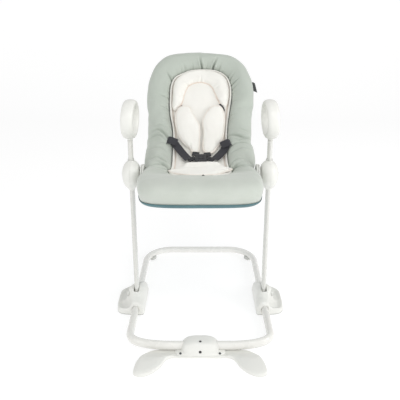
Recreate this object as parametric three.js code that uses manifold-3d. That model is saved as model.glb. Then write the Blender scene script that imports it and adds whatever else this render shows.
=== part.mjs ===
// Baby bouncer: a padded reclining seat carried between two upright posts.
// The posts stand on a floor loop and can be folded back; the seat slides up and
// down the posts on two egg-shaped sliders and tilts on hubs.
// Units are millimetres, +Z is up, the front of the seat faces -Y.
import * as THREE from 'three';
import { mergeVertices } from 'three/addons/utils/BufferGeometryUtils.js';
import Module from 'manifold-3d';

const wasm = await Module();
wasm.setup();

// ---------------------------------------------------------------- dimensions
const ORIGIN_Y = -34.95;       // fold pivot line, measured from the middle of the footprint
const GAP = 0.3;               // clearance between touching pieces

// floor loop
const LEG_X = 216;             // half spacing of the side legs and of the posts
const TUBE_Z = 20;             // height of the loop's centre line
const FRONT_BAR_Y = -239;
const REAR_BAR_Y = 375;
const REAR_BEND_R = 100;
const FRONT_TUBE = { w: 23, h: 28, wall: 1.6 };
const REAR_TUBE = { w: 24, h: 24, wall: 1.6 };

// side housings
const PIVOT_Z = 50;            // fold pivot above the floor
const SOLE_T = 3;
const HOUSING_WALL = 3;
const SLOT_HALF = 9.5;         // half width of the fork slot
const PIN_R = 4;

// posts and handles
const LEAN = THREE.MathUtils.degToRad(3.5);
const POST = { w: 16, d: 30, wall: 1.6, start: 18.3, end: 528 };
const HANDLE_CENTRE = 591;     // distance from the fold pivot along the post
const HANDLE = { ry: 53, rz: 49.5, radial: 10, axial: 17.5 };

// sliders and hubs
const HUB_D = 420;             // hub distance from the fold pivot along the post
const EGG = { x: 29, y: 44, z: 47, wall: 2.6 };
const HUB_R = 30;

// seat profile: flat front, round knee, straight back
const SEAT_Z = 450;
const SEAT_FRONT = 180;        // length of the flat front part
const SEAT_RISE = 10;          // upward curl at the front end
const SEAT_R = 236;            // knee radius
const SEAT_ANGLE = THREE.MathUtils.degToRad(46);
const SEAT_KNEE = SEAT_FRONT + SEAT_R * SEAT_ANGLE;
const FRAME_N = -11;           // seat tube centre, below the seat surface
const FRAME_R = 8;

// ------------------------------------------------------------------ finishes
const WHITE = { color: 0xedeee9, roughness: 0.34, metalness: 0.0 };
const WHITE_METAL = { color: 0xecede8, roughness: 0.32, metalness: 0.1 };
const RUBBER = { color: 0xb9bab6, roughness: 0.85, metalness: 0.0 };
const STEEL = { color: 0x9b9c9e, roughness: 0.35, metalness: 1.0 };
const GREY = { color: 0xc9cbc7, roughness: 0.5, metalness: 0.0 };
const SAGE = { color: 0xbac5bb, roughness: 0.82, metalness: 0.0 };
const TEAL = { color: 0x507d87, roughness: 0.86, metalness: 0.0 };
const CREAM = { color: 0xf5f4f0, roughness: 0.92, metalness: 0.0 };
const BLACK = { color: 0x323236, roughness: 0.75, metalness: 0.0 };
const BLACK_GLOSS = { color: 0x1b1b1d, roughness: 0.3, metalness: 0.0 };
const DARK_TAG = { color: 0x2e3331, roughness: 0.8, metalness: 0.0 };

// ------------------------------------------------------------------- helpers
const group = new THREE.Group();
const frame = new THREE.Group();
frame.position.set(0, ORIGIN_Y, 0);
group.add(frame);

function clean(geometry) {
  const g = geometry.clone();
  g.deleteAttribute('normal');
  g.deleteAttribute('uv');
  return facingOut(mergeVertices(g, 1e-4));
}

// turn a closed surface's triangles outwards if a reshaping mirrored them
function facingOut(g) {
  const p = g.attributes.position, ix = Array.from(g.index.array);
  const a = new THREE.Vector3(), b = new THREE.Vector3(), c = new THREE.Vector3();
  let volume = 0;
  for (let i = 0; i < ix.length; i += 3) {
    a.fromBufferAttribute(p, ix[i]); b.fromBufferAttribute(p, ix[i + 1]); c.fromBufferAttribute(p, ix[i + 2]);
    volume += a.dot(b.cross(c));
  }
  if (volume < 0) {
    for (let i = 0; i < ix.length; i += 3) [ix[i + 1], ix[i + 2]] = [ix[i + 2], ix[i + 1]];
    g.setIndex(ix);
  }
  return g;
}

function add(name, geometry, finish) {
  const g = clean(geometry);
  g.computeVertexNormals();
  const mesh = new THREE.Mesh(g, new THREE.MeshStandardMaterial(finish));
  mesh.name = name;
  frame.add(mesh);
  return mesh;
}

function solid(geometry) {
  const g = clean(geometry);
  return new wasm.Manifold(new wasm.Mesh({
    numProp: 3,
    vertProperties: new Float32Array(g.attributes.position.array),
    triVerts: new Uint32Array(g.index.array),
  }));
}

function surface(body) {
  const m = body.getMesh();
  const g = new THREE.BufferGeometry();
  const n = m.vertProperties.length / m.numProp;
  const pos = new Float32Array(n * 3);
  for (let i = 0; i < n; i++) for (let k = 0; k < 3; k++) pos[3 * i + k] = m.vertProperties[i * m.numProp + k];
  g.setAttribute('position', new THREE.BufferAttribute(pos, 3));
  g.setIndex(Array.from(m.triVerts));
  return g;
}

// the same piece on the other side of the middle plane
function mirrored(geometry) {
  const g = clean(geometry);
  const p = g.attributes.position;
  for (let i = 0; i < p.count; i++) p.setX(i, -p.getX(i));
  return facingOut(g);
}

function both(name, geometry, finish) {
  add('right_' + name, geometry, finish);
  add('left_' + name, mirrored(geometry), finish);
}

const power = (v, e) => Math.sign(v) * Math.pow(Math.abs(v), e);

// reshape a unit sphere
function blob(fn, w = 20, h = 12) {
  const g = new THREE.SphereGeometry(1, w, h);
  const p = g.attributes.position;
  for (let i = 0; i < p.count; i++) {
    const q = fn(p.getX(i), p.getY(i), p.getZ(i));
    p.setXYZ(i, q[0], q[1], q[2]);
  }
  return g;
}

function egg(cx, cy, cz, hx, hy, hz, e, w, h) {
  return blob((x, y, z) => {
    const k = Math.pow(Math.pow(Math.abs(x), 2 / e) + Math.pow(Math.abs(y), 2 / e) + Math.pow(Math.abs(z), 2 / e), -e / 2);
    return [cx + hx * x * k, cy + hy * y * k, cz + hz * z * k];
  }, w, h);
}

// reshape a ring: fn gets the angle along the ring and the angle round its section
function ring(fn, along, round) {
  const g = new THREE.TorusGeometry(10, 3, round, along);
  const p = g.attributes.position;
  for (let i = 0; i < p.count; i++) {
    const x = p.getX(i), y = p.getY(i), z = p.getZ(i);
    let u = Math.atan2(y, x);
    if (u < 0) u += 2 * Math.PI;
    const q = fn(u, Math.atan2(z, Math.hypot(x, y) - 10));
    p.setXYZ(i, q[0], q[1], q[2]);
  }
  return g;
}

// reshape a slab: a and b run -1..1 across and along, c is -1 below and 1 above
function slab(fn, na, nb, nc = 1) {
  const g = new THREE.BoxGeometry(2, 2, 2, na, nb, nc);
  const p = g.attributes.position;
  for (let i = 0; i < p.count; i++) {
    const q = fn(p.getX(i), p.getY(i), p.getZ(i));
    p.setXYZ(i, q[0], q[1], q[2]);
  }
  return g;
}

function box(x0, x1, y0, y1, z0, z1) {
  return new THREE.BoxGeometry(x1 - x0, y1 - y0, z1 - z0).translate((x0 + x1) / 2, (y0 + y1) / 2, (z0 + z1) / 2);
}

function cylX(r, x0, x1, y, z, n = 12) {
  return new THREE.CylinderGeometry(r, r, x1 - x0, n).rotateZ(-Math.PI / 2).translate((x0 + x1) / 2, y, z);
}

function cylZ(r, z0, z1, x, y, n = 16) {
  return new THREE.CylinderGeometry(r, r, z1 - z0, n).rotateX(Math.PI / 2).translate(x, y, (z0 + z1) / 2);
}

// prism along X from a (Y,Z) outline, its edges bevelled
function prismX(points, x0, x1, bevel, inset = 0) {
  const s = new THREE.Shape(points.map((p) => new THREE.Vector2(p[0], p[1])));
  const g = new THREE.ExtrudeGeometry(s, {
    depth: x1 - x0 - 2 * bevel, bevelEnabled: bevel > 0, bevelSize: bevel, bevelThickness: bevel,
    bevelOffset: -bevel - inset, bevelSegments: 1, curveSegments: 4,
  });
  g.applyMatrix4(new THREE.Matrix4().makeBasis(
    new THREE.Vector3(0, 1, 0), new THREE.Vector3(0, 0, 1), new THREE.Vector3(1, 0, 0)));
  return g.translate(x0 + bevel, 0, 0);
}

// prism along Z from an (X,Y) outline
function prismZ(points, z0, z1, bevel, inset = 0) {
  const s = new THREE.Shape(points.map((p) => new THREE.Vector2(p[0], p[1])));
  const g = new THREE.ExtrudeGeometry(s, {
    depth: z1 - z0 - 2 * bevel, bevelEnabled: bevel > 0, bevelSize: bevel, bevelThickness: bevel,
    bevelOffset: -bevel - inset, bevelSegments: 1, curveSegments: 4,
  });
  return g.translate(0, 0, z0 + bevel);
}

// a path with stations only where the tube bends
class Stations extends THREE.Curve {
  constructor(points) {
    super();
    this.points = points.map((p) => new THREE.Vector3(...p));
    const n = this.points.length;
    this.tangents = this.points.map((p, i) => {
      const a = this.points[Math.max(0, i - 1)], b = this.points[Math.min(n - 1, i + 1)];
      const t0 = p.clone().sub(a), t1 = b.clone().sub(p);
      if (t0.lengthSq() > 0) t0.normalize();
      if (t1.lengthSq() > 0) t1.normalize();
      return t0.add(t1).normalize();
    });
  }
  at(t) { return Math.min(this.points.length - 1, Math.max(0, Math.round(t * (this.points.length - 1)))); }
  getPoint(t, v = new THREE.Vector3()) { return v.copy(this.points[this.at(t)]); }
  getPointAt(t, v = new THREE.Vector3()) { return v.copy(this.points[this.at(t)]); }
  getTangent(t, v = new THREE.Vector3()) { return v.copy(this.tangents[this.at(t)]); }
  getTangentAt(t, v = new THREE.Vector3()) { return v.copy(this.tangents[this.at(t)]); }
  getSpacedPoints() { return this.points.map((p) => p.clone()); }
}

// oval section: a is the half size along the shape's x, b along its y
function oval(a, b, n, e = 1) {
  const pts = [];
  for (let i = 0; i < n; i++) {
    const t = (2 * Math.PI * i) / n;
    pts.push(new THREE.Vector2(a * power(Math.cos(t), e), b * power(Math.sin(t), e)));
  }
  return pts;
}

function ovalTube(a, b, wall, n, path, e = 1) {
  const s = new THREE.Shape(oval(a, b, n, e));
  if (wall > 0) s.holes.push(new THREE.Path(oval(a - wall, b - wall, n, e)));
  return new THREE.ExtrudeGeometry(s, { steps: path.points.length - 1, extrudePath: path, bevelEnabled: false });
}

// straight oval bar or tube in post coordinates: across X, deep Y, along Z
function ovalPost(w, d, z0, z1, n, wall = 0, e = 1) {
  const s = new THREE.Shape(oval(w / 2, d / 2, n, e));
  if (wall > 0) s.holes.push(new THREE.Path(oval(w / 2 - wall, d / 2 - wall, n, e)));
  return new THREE.ExtrudeGeometry(s, { depth: z1 - z0, bevelEnabled: false }).translate(0, 0, z0);
}

// ---------------------------------------------------------------- floor loop
function loop(yEnd, yBar, r) {
  const dir = Math.sign(yBar - yEnd);
  const pts = [[LEG_X, yEnd, TUBE_Z]];
  const n = 5;
  for (let i = 0; i <= n; i++) {
    const a = (i / n) * Math.PI / 2;
    pts.push([LEG_X - r + r * Math.cos(a), yBar - dir * r + dir * r * Math.sin(a), TUBE_Z]);
  }
  for (let i = n; i >= 0; i--) {
    const a = (i / n) * Math.PI / 2;
    pts.push([-(LEG_X - r + r * Math.cos(a)), yBar - dir * r + dir * r * Math.sin(a), TUBE_Z]);
  }
  pts.push([-LEG_X, yEnd, TUBE_Z]);
  return new Stations(pts);
}
// the front bends are tight at the leg and run out slowly into the bar
const FRONT_BEND = [[LEG_X, -26], [LEG_X, -172], [215, -188], [210.5, -201.5], [201, -213], [186, -222.5], [165, -230], [140, -235], [112, -238.2], [84, FRONT_BAR_Y]];
const frontPath = new Stations([
  ...FRONT_BEND.map(([x, y]) => [x, y, TUBE_Z]), ...FRONT_BEND.slice().reverse().map(([x, y]) => [-x, y, TUBE_Z])]);
add('front_base_tube', ovalTube(FRONT_TUBE.h / 2, FRONT_TUBE.w / 2, FRONT_TUBE.wall, 12, frontPath), WHITE_METAL);
add('rear_base_tube', ovalTube(REAR_TUBE.h / 2, REAR_TUBE.w / 2, REAR_TUBE.wall, 12, loop(40, REAR_BAR_Y, REAR_BEND_R)), WHITE_METAL);

// ------------------------------------------------------------- side housings
const SADDLE = [[-62, 0], [-63, 28], [-60, 40], [-50, 47], [-32, 57], [-17, 71], [-2, 79], [16, 79], [34, 70], [60, 57], [90, 43], [104, 28], [108, 0]];
const WING = [[196, -60], [248, -58], [270, -49], [281, -28], [285, 12], [284.5, 50], [280, 72], [263, 93], [240, 106], [196, 108]];
const below = (pts) => pts.map(([a, b]) => [a, b === 0 ? -30 : b]);
const outerBody = solid(prismX(SADDLE, 187, 245, 9)).add(solid(prismZ(WING, -6, 18, 6)));
const innerBody = solid(prismX(below(SADDLE), 187 + HOUSING_WALL, 245 - HOUSING_WALL, 8, HOUSING_WALL))
  .add(solid(prismZ(WING, -30, 18 - HOUSING_WALL, 6, HOUSING_WALL)));
const aboveSole = solid(box(150, 320, -150, 200, SOLE_T + GAP, 120));
let housing = outerBody.intersect(aboveSole).subtract(innerBody);
const saddleOnly = solid(prismX(SADDLE, 187, 245, 9)).intersect(aboveSole);
const webs = solid(box(LEG_X - SLOT_HALF - 3, LEG_X - SLOT_HALF, -60, 104, 34.6, 90))
  .add(solid(box(LEG_X + SLOT_HALF, LEG_X + SLOT_HALF + 3, -60, 104, 34.6, 90)));
const cheeks = solid(box(198, LEG_X - SLOT_HALF, -23, 23, SOLE_T + GAP, 64))
  .add(solid(box(LEG_X + SLOT_HALF, 234, -23, 23, SOLE_T + GAP, 64)));
housing = housing.add(webs.add(cheeks).intersect(saddleOnly));
const frontTunnel = ovalTube(FRONT_TUBE.h / 2 + 0.5, FRONT_TUBE.w / 2 + 0.5, 0, 12, new Stations([[LEG_X, -24.5, TUBE_Z], [LEG_X, -120, TUBE_Z]]));
const rearTunnel = ovalTube(REAR_TUBE.h / 2 + 0.5, REAR_TUBE.w / 2 + 0.5, 0, 12, new Stations([[LEG_X, 38.5, TUBE_Z], [LEG_X, 150, TUBE_Z]]));
housing = housing
  .subtract(solid(frontTunnel)).subtract(solid(rearTunnel))
  .subtract(solid(box(LEG_X - SLOT_HALF, LEG_X + SLOT_HALF, -19, 140, 34.6, 120)))
  .subtract(solid(box(LEG_X - SLOT_HALF, LEG_X + SLOT_HALF, -23.4, 23.4, 3, 60)))
  .subtract(solid(cylX(PIN_R + GAP, 190, 240, 0, PIVOT_Z)))
  .subtract(solid(cylX(10.4, 238, 260, 0, PIVOT_Z, 14)));
both('housing', surface(housing), WHITE);
both('sole', surface(outerBody.intersect(solid(box(150, 320, -150, 200, 0, SOLE_T)))), RUBBER);

// fold pivot pin: a headed shaft through both cheeks and the post's knuckle
const pinProfile = [[0, 0], [7, 0], [7, 3], [PIN_R, 3], [PIN_R, 39], [0, 39]].map((p) => new THREE.Vector2(...p));
both('pivot_pin', new THREE.LatheGeometry(pinProfile, 10).rotateZ(-Math.PI / 2).translate(194.6, 0, PIVOT_Z), STEEL);

// fold release button in the outer cheek
const foldButton = [[0, 0], [10, 0], [10, 8.2], [8.6, 9.6], [0, 9.8]].map((p) => new THREE.Vector2(...p));
both('fold_button', new THREE.LatheGeometry(foldButton, 14).rotateZ(-Math.PI / 2).translate(239, 0, PIVOT_Z), GREY);

// ---------------------------------------------------------- front foot, feet
const FOOT_HALF = [[0, -273], [62, -273], [79, -273], [93, -278], [102, -288], [112, -310], [130, -333], [146, -344.5], [161, -350], [176, -349], [186, -342], [189.5, -328], [188.5, -311],
  [181, -282], [170, -262], [155, -248], [139, -240], [118, -236], [100, -226], [84, -212], [66, -207], [0, -206]];
const footOutline = FOOT_HALF.concat(FOOT_HALF.slice(1, -1).reverse().map(([x, y]) => [-x, y]));
const foot = solid(prismZ(footOutline, 0, 14, 4))
  .subtract(solid(box(-78, 78, -300, -190, 5.7, 40)))
  .subtract(solid(box(-230, 230, FRONT_BAR_Y - 14, -150, 5.7, 40)));
add('front_foot', surface(foot), WHITE);

// clamp cover: a dome over the bar that runs out into a low skirt on the foot
let clamp = solid(egg(0, FRONT_BAR_Y, 0, 60, 31, 45.5, 0.62, 18, 10)).add(solid(egg(0, FRONT_BAR_Y, 0, 77, 31.5, 17.5, 0.45, 18, 8)))
  .intersect(solid(box(-80, 80, -300, -180, 6, 80)));
clamp = clamp.subtract(solid(new THREE.ExtrudeGeometry(new THREE.Shape(oval(FRONT_TUBE.h / 2 + 0.4, FRONT_TUBE.w / 2 + 0.4, 12)),
  { steps: 1, extrudePath: new Stations([[-90, FRONT_BAR_Y, TUBE_Z], [90, FRONT_BAR_Y, TUBE_Z]]), bevelEnabled: false })));
const SCREWS = [[0, -250, 43.6], [0, -264.5, 22], [-58, -262, 14.4], [58, -262, 14.4]];
for (const [x, y, z] of SCREWS) {
  clamp = clamp.subtract(solid(cylZ(2, z - 7.6, z + 30, x, y, 6))).subtract(solid(cylZ(3.9, z - 2.6, z + 30, x, y, 8)));
}
add('clamp_cover', surface(clamp), WHITE);
const screwProfile = [[0, -7], [1.6, -7], [1.6, -2.2], [3.5, -2.2], [3.5, -0.4], [0, 0]].map((p) => new THREE.Vector2(...p));
SCREWS.forEach(([x, y, z], i) => {
  add('clamp_screw_' + (i + 1), new THREE.LatheGeometry(screwProfile, 6).rotateX(Math.PI / 2).translate(x, y, z), STEEL);
});

// rear feet: saddles under the rear bends
const footAngle = THREE.MathUtils.degToRad(35);
const rearFoot = solid(new THREE.BoxGeometry(30, 24, 15, 1, 1, 1).translate(0, 0, 7.5))
  .intersect(solid(egg(0, 0, 0, 17, 15, 16, 0.35, 12, 8)))
  .subtract(solid(new THREE.CylinderGeometry(13.8, 13.8, 60, 14).translate(0, 0, TUBE_Z)));
both('rear_foot', surface(rearFoot).rotateZ(footAngle).translate(
  LEG_X - REAR_BEND_R + REAR_BEND_R * Math.cos(footAngle), REAR_BAR_Y - REAR_BEND_R + REAR_BEND_R * Math.sin(footAngle), 0), RUBBER);

// ------------------------------------------------------------ posts, handles
// pieces on a post are drawn upright from the pivot and then leaned back
const toPost = new THREE.Matrix4().makeTranslation(LEG_X, 0, PIVOT_Z).multiply(new THREE.Matrix4().makeRotationX(-LEAN));
const onPost = (g) => g.applyMatrix4(toPost);

both('upright_tube', onPost(ovalPost(POST.w, POST.d, POST.start, POST.end, 14, POST.wall)), WHITE_METAL);

const knuckle = solid(cylX(14, -7.4, 7.4, 0, 0, 16))
  .add(solid(ovalPost(14.8, 28.6, 0, 18, 14)))
  .add(solid(ovalPost(11.6, 25.6, 17, 46, 10)))
  .subtract(solid(cylX(PIN_R + GAP, -20, 20, 0, 0)));
both('knuckle', onPost(surface(knuckle)), WHITE);

// a wide rounded band bent into a ring, with a neck that plugs into the post
const band = ring((u, v) => {
  const cy = Math.cos(u), cz = Math.sin(u);
  const r = HANDLE.radial * power(Math.cos(v), 0.8);
  const nx = cy / HANDLE.ry, nz = cz / HANDLE.rz, l = Math.hypot(nx, nz);
  return [HANDLE.axial * power(Math.sin(v), 0.75), HANDLE.ry * cy + r * nx / l, HANDLE_CENTRE + HANDLE.rz * cz + r * nz / l];
}, 24, 8);
const neck = new THREE.CylinderGeometry(1, 1, 20, 14, 1).rotateX(Math.PI / 2);
{
  const p = neck.attributes.position;
  for (let i = 0; i < p.count; i++) {
    const up = p.getZ(i) > 0;
    p.setXYZ(i, p.getX(i) * (up ? 13 : POST.w / 2), p.getY(i) * (up ? 21 : POST.d / 2), p.getZ(i) + POST.end + GAP + 10);
  }
}
const handle = solid(band).add(solid(neck)).add(solid(ovalPost(11.6, 25.6, POST.end - 30, POST.end + 4, 10)));
both('handle', onPost(surface(handle)), WHITE);

// --------------------------------------------------------- sliders and hubs
const eggOuter = solid(egg(0, 0, HUB_D, EGG.x, EGG.y, EGG.z, 0.9, 16, 10));
const eggInner = solid(egg(0, 0, HUB_D, EGG.x - EGG.wall, EGG.y - EGG.wall, EGG.z - EGG.wall, 0.9, 12, 8));
const postHole = solid(ovalPost(POST.w + 1.1, POST.d + 1.1, HUB_D - 80, HUB_D + 80, 12));
const BUTTON_R = 11;
const SCREW_Y = 28;
const outerHalf = eggOuter.subtract(eggInner)
  .intersect(solid(box(GAP, 60, -80, 80, HUB_D - 80, HUB_D + 80)))
  .subtract(postHole)
  .subtract(solid(cylX(BUTTON_R + 0.6, 10, 60, 0, HUB_D, 12)));
both('slider_outer', onPost(surface(outerHalf)), WHITE);

// the inner half carries the stub axle of the seat hub and a screw post
let innerHalf = eggOuter.subtract(eggInner)
  .add(solid(cylX(17, -LEG_X + 186.4, -20, 0, HUB_D, 12)))
  .add(solid(cylX(5, -LEG_X + 174.4, -20, 0, HUB_D, 10)))
  .add(solid(cylX(4.6, -22, -GAP, SCREW_Y, HUB_D, 8)))
  .intersect(solid(box(-60, -GAP, -80, 80, HUB_D - 80, HUB_D + 80)))
  .subtract(postHole);
innerHalf = innerHalf.subtract(solid(cylX(2, -40, 10, SCREW_Y, HUB_D, 6))).subtract(solid(cylX(4, -60, -17, SCREW_Y, HUB_D, 8)));
both('slider_inner', onPost(surface(innerHalf)), WHITE);

const shellScrew = [[0, 0], [3.5, 0], [3.5, 2], [1.6, 2], [1.6, 15], [0, 15]].map((p) => new THREE.Vector2(...p));
both('slider_screw', onPost(new THREE.LatheGeometry(shellScrew, 6).rotateZ(-Math.PI / 2).translate(-19.3, SCREW_Y, HUB_D)), STEEL);

// guide sleeve that rides on the post, with a window for the brake shoe
const guide = solid(ovalPost(22.4, 36.4, HUB_D - 34, HUB_D + 34, 12))
  .subtract(postHole)
  .subtract(solid(box(6, 20, -9, 9, HUB_D - 13, HUB_D + 13)))
  .subtract(solid(box(-20, -11.6, -20, 20, HUB_D - 40, HUB_D + 40)));
both('slider_guide', onPost(surface(guide)), GREY);

// brake shoe, release button and its spring, all working across the post
both('brake_shoe', onPost(box(8.6, 14, -8, 8, HUB_D - 12, HUB_D + 12)), RUBBER);
const buttonProfile = [[0, 0], [3.4, 0], [3.4, 5], [BUTTON_R, 5], [BUTTON_R, 11.2], [BUTTON_R - 1.8, 12.6], [0, 13]].map((p) => new THREE.Vector2(...p));
both('height_button', onPost(new THREE.LatheGeometry(buttonProfile, 12).rotateZ(-Math.PI / 2).translate(19.4, 0, HUB_D)), GREY);
class Helix extends THREE.Curve {
  getPoint(t, v = new THREE.Vector3()) {
    const a = t * Math.PI * 2 * 2.5;
    return v.set(15 + 8.2 * t, 5.4 * Math.cos(a), 5.4 * Math.sin(a));
  }
}
const wire = new THREE.ExtrudeGeometry(new THREE.Shape(oval(0.55, 0.55, 4)), { steps: 22, extrudePath: new Helix(), bevelEnabled: false });
both('button_spring', onPost(wire.translate(0, 0, HUB_D)), STEEL);

// hub: indexing disc next to the slider, then the plate that is fixed to the seat tube
const hubAt = new THREE.Vector3(0, 0, HUB_D).applyMatrix4(toPost);
const HUB_Y = hubAt.y, HUB_Z = hubAt.z;
const disc = solid(cylX(HUB_R, 181, 186, HUB_Y, HUB_Z, 20)).subtract(solid(cylX(5.5, 170, 200, HUB_Y, HUB_Z, 10)));
both('hub_disc', surface(disc), GREY);

// ----------------------------------------------------------------- the seat
// x across, s along the profile from the front end, n up from the seat surface
function profile(s) {
  if (s < SEAT_FRONT) {
    const u = (SEAT_FRONT - s) / SEAT_FRONT;
    const t = new THREE.Vector2(1, -2 * SEAT_RISE * u / SEAT_FRONT).normalize();
    return [-SEAT_FRONT + s, SEAT_Z + SEAT_RISE * u * u, t.x, t.y];
  }
  if (s < SEAT_KNEE) {
    const a = (s - SEAT_FRONT) / SEAT_R;
    return [SEAT_R * Math.sin(a), SEAT_Z + SEAT_R * (1 - Math.cos(a)), Math.cos(a), Math.sin(a)];
  }
  const d = s - SEAT_KNEE, c = Math.cos(SEAT_ANGLE), k = Math.sin(SEAT_ANGLE);
  return [SEAT_R * k + d * c, SEAT_Z + SEAT_R * (1 - c) + d * k, c, k];
}
function at(x, s, n) {
  const [y, z, ty, tz] = profile(s);
  return [x, y - n * tz, z + n * ty];
}

// closed outlines in (x, s), given as the half from the front middle to the head middle
function outline(half) {
  const pts = half.concat(half.slice(1, -1).reverse().map(([x, s]) => [-x, s]));
  return new THREE.CatmullRomCurve3(pts.map(([x, s]) => new THREE.Vector3(x, s, 0)), true, 'centripetal');
}
const OUTER = [[0, -22], [80, -22], [136, -13], [166, 14], [180, 62], [183, 118], [171, 158], [170.5, 205], [171, 252], [174, 300], [171, 357], [175, 424], [181, 500], [182, 572], [175, 626], [158, 672], [126, 707], [72, 727], [0, 734]];
const INNER = [[0, 163], [56, 163], [86, 170], [97, 190], [92, 240], [89, 300], [90, 363], [93, 425], [101, 469], [105, 513], [104, 585], [92, 626], [56, 651], [0, 664]];
const TUBE = [[0, 12], [78, 12], [124, 26], [148, 62], [150, 120], [150, 250], [150, 400], [150, 560], [146, 622], [126, 668], [88, 697], [40, 706], [0, 707]];

function sampler(curve, count) {
  const pts = curve.getSpacedPoints(count);
  return (u) => pts[Math.round((u / (2 * Math.PI)) * count) % count];
}

const FRAME_STEPS = 52;
const tubeAt = sampler(outline(TUBE), FRAME_STEPS);
add('seat_frame_tube', ring((u, v) => {
  const p = tubeAt(u), a = tubeAt((u + 2 * Math.PI - 2 * Math.PI / FRAME_STEPS) % (2 * Math.PI)), b = tubeAt((u + 2 * Math.PI / FRAME_STEPS) % (2 * Math.PI));
  const d = new THREE.Vector2(b.x - a.x, b.y - a.y).normalize();
  const r = FRAME_R * Math.cos(v);
  return at(p.x + r * d.y, p.y - r * d.x, FRAME_N + FRAME_R * Math.sin(v));
}, FRAME_STEPS, 6), WHITE_METAL);

// hub plate: a disc with a lug that reaches in to the seat tube
const lug = solid(slab((a, b, c) => {
  const q = at(0, 205 + 22 * b, -7.5 + 9.5 * c);
  return [167.4 + 9.4 * a, q[1], q[2]];
}, 1, 2)).subtract(solid(slab((a, b, c) => {
  const q = at(0, 205 + 30 * b, FRAME_N + 9 * c);
  return [150 + 8.6 * a, q[1], q[2]];
}, 1, 2)));
const plate = solid(cylX(HUB_R + 1, 175.2, 180.6, HUB_Y, HUB_Z, 20)).add(lug)
  .subtract(solid(cylX(5.5, 170, 200, HUB_Y, HUB_Z, 10)));
both('hub_plate', surface(plate), GREY);

// panel under the cushions, inside the seat tube
const innerHalfWidth = (s) => {
  const c = 140, lo = 30, hi = 690;
  const k = s < 100 ? (100 - s) / 78 : s > 585 ? (s - 585) / 112 : 0;
  return c * Math.pow(Math.max(0, 1 - Math.pow(Math.min(1, Math.abs(k)), 3)), 0.42) * (s >= lo && s <= hi ? 1 : 0.9);
};
add('seat_panel', slab((a, b, c) => {
  const s = 361 + 326 * b;
  return at(a * innerHalfWidth(s), s, -4.5 + 1.5 * c);
}, 1, 24), TEAL);

// padded rim
const RIM_STEPS = 44;
const outerAt = sampler(outline(OUTER), RIM_STEPS), innerAt = sampler(outline(INNER), RIM_STEPS);
add('seat_bolster', ring((u, v) => {
  const o = outerAt(u), i = innerAt(u);
  const c = power(Math.cos(v), 0.8), h = power(Math.sin(v), 0.8);
  return at((o.x + i.x) / 2 + c * (o.x - i.x) / 2, (o.y + i.y) / 2 + c * (o.y - i.y) / 2, 26.5 + 28 * h);
}, RIM_STEPS, 8), SAGE);

// newborn insert: a flat pad lying inside the rim
const insertHalf = (s) => {
  const pts = [[172, 78], [186, 90], [205, 91], [240, 87.5], [300, 84.5], [363, 85.5], [425, 88.5], [469, 96], [513, 100], [585, 99], [615, 92], [638, 70], [652, 40]];
  for (let i = 1; i < pts.length; i++) if (s <= pts[i][0]) {
    const t = (s - pts[i - 1][0]) / (pts[i][0] - pts[i - 1][0]);
    return pts[i - 1][1] + t * (pts[i][1] - pts[i - 1][1]);
  }
  return pts[pts.length - 1][1];
};
add('seat_insert', slab((a, b, c) => {
  const s = 412 + 240 * b;
  return at(a * insertHalf(s), s, c < 0 ? 0 : 24 - 9 * a * a);
}, 4, 20), CREAM);

// head support: a horseshoe roll
{
  const half = [[-78, 508], [-78, 545], [-70, 585], [-46, 618], [0, 630], [46, 618], [70, 585], [78, 545], [78, 508]];
  const path = new THREE.CatmullRomCurve3(half.map(([x, s]) => new THREE.Vector3(x, s, 0)), false, 'centripetal');
  add('head_support', blob((x, y, z) => {
    const t = Math.acos(Math.max(-1, Math.min(1, y))) / Math.PI;
    const p = path.getPointAt(t), d = path.getTangentAt(t);
    const k = Math.pow(Math.max(0, 1 - Math.pow(Math.abs(2 * t - 1), 7)), 0.5);
    const l = Math.hypot(x, z) || 1;
    const wide = 15 + 9 * Math.pow(Math.sin(Math.PI * t), 2);
    return at(p.x - d.y * wide * k * x / l, p.y + d.x * wide * k * x / l, 36 + 11 * k * z / l);
  }, 8, 20), CREAM);
}

// shoulder pads: two long ovals
both('shoulder_pad', blob((x, y, z) => {
  const s = 412 + 95 * y;
  return at(42 + 0.17 * (s - 412) + 37 * x, s, 35 + 9 * z);
}, 10, 10), CREAM);

// crotch flap in front of the buckle
add('crotch_flap', slab((a, b, c) => {
  const s = 214 + 44 * b;
  return at(2 + a * (58 - 16 * b), s, c < 0 ? 25 : 34 - 5 * a * a);
}, 4, 6), CREAM);

// waist straps, buckle tongues, buckle and its press button
both('waist_strap', slab((a, b, c) => {
  const t = (b + 1) / 2;
  const cx = 77 - 35 * t, cs = 344 - 50 * t;
  const dx = 0.819, ds = -0.573;
  return at(cx + dx * 11 * a, cs + ds * 11 * a, 26.4 + 0.8 * c);
}, 1, 3), BLACK);
both('buckle_tongue', slab((a, b, c) => at(31.5 + 8.8 * a, 281 + 9 * b, 30.2 + 2.6 * c), 1, 1), BLACK_GLOSS);
let buckle = solid(slab((a, b, c) => {
  const k = 1 - 0.08 * b * b;
  return at(22 * a * k, 281 + 19 * b, 34 + 7 * c - (c > 0 ? 1.5 * a * a : 0));
}, 4, 4));
buckle = buckle.subtract(solid(slab((a, b, c) => at(8.4 * a, 281 + 8.4 * b, 42 + 4.5 * c), 1, 1)));
add('buckle_housing', surface(buckle), BLACK_GLOSS);
add('buckle_button', slab((a, b, c) => at(8 * a, 281 + 8 * b, 42 + 1 * c + (c > 0 ? 0.6 * (1 - a * a) * (1 - b * b) : -0.6)), 2, 2), BLACK);

// bare woven tag in the outer seam
add('side_tag', slab((a, b, c) => at(189 + 6 * a, 585 + 18 * b, 27 + 0.6 * c), 1, 1), DARK_TAG);

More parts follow.
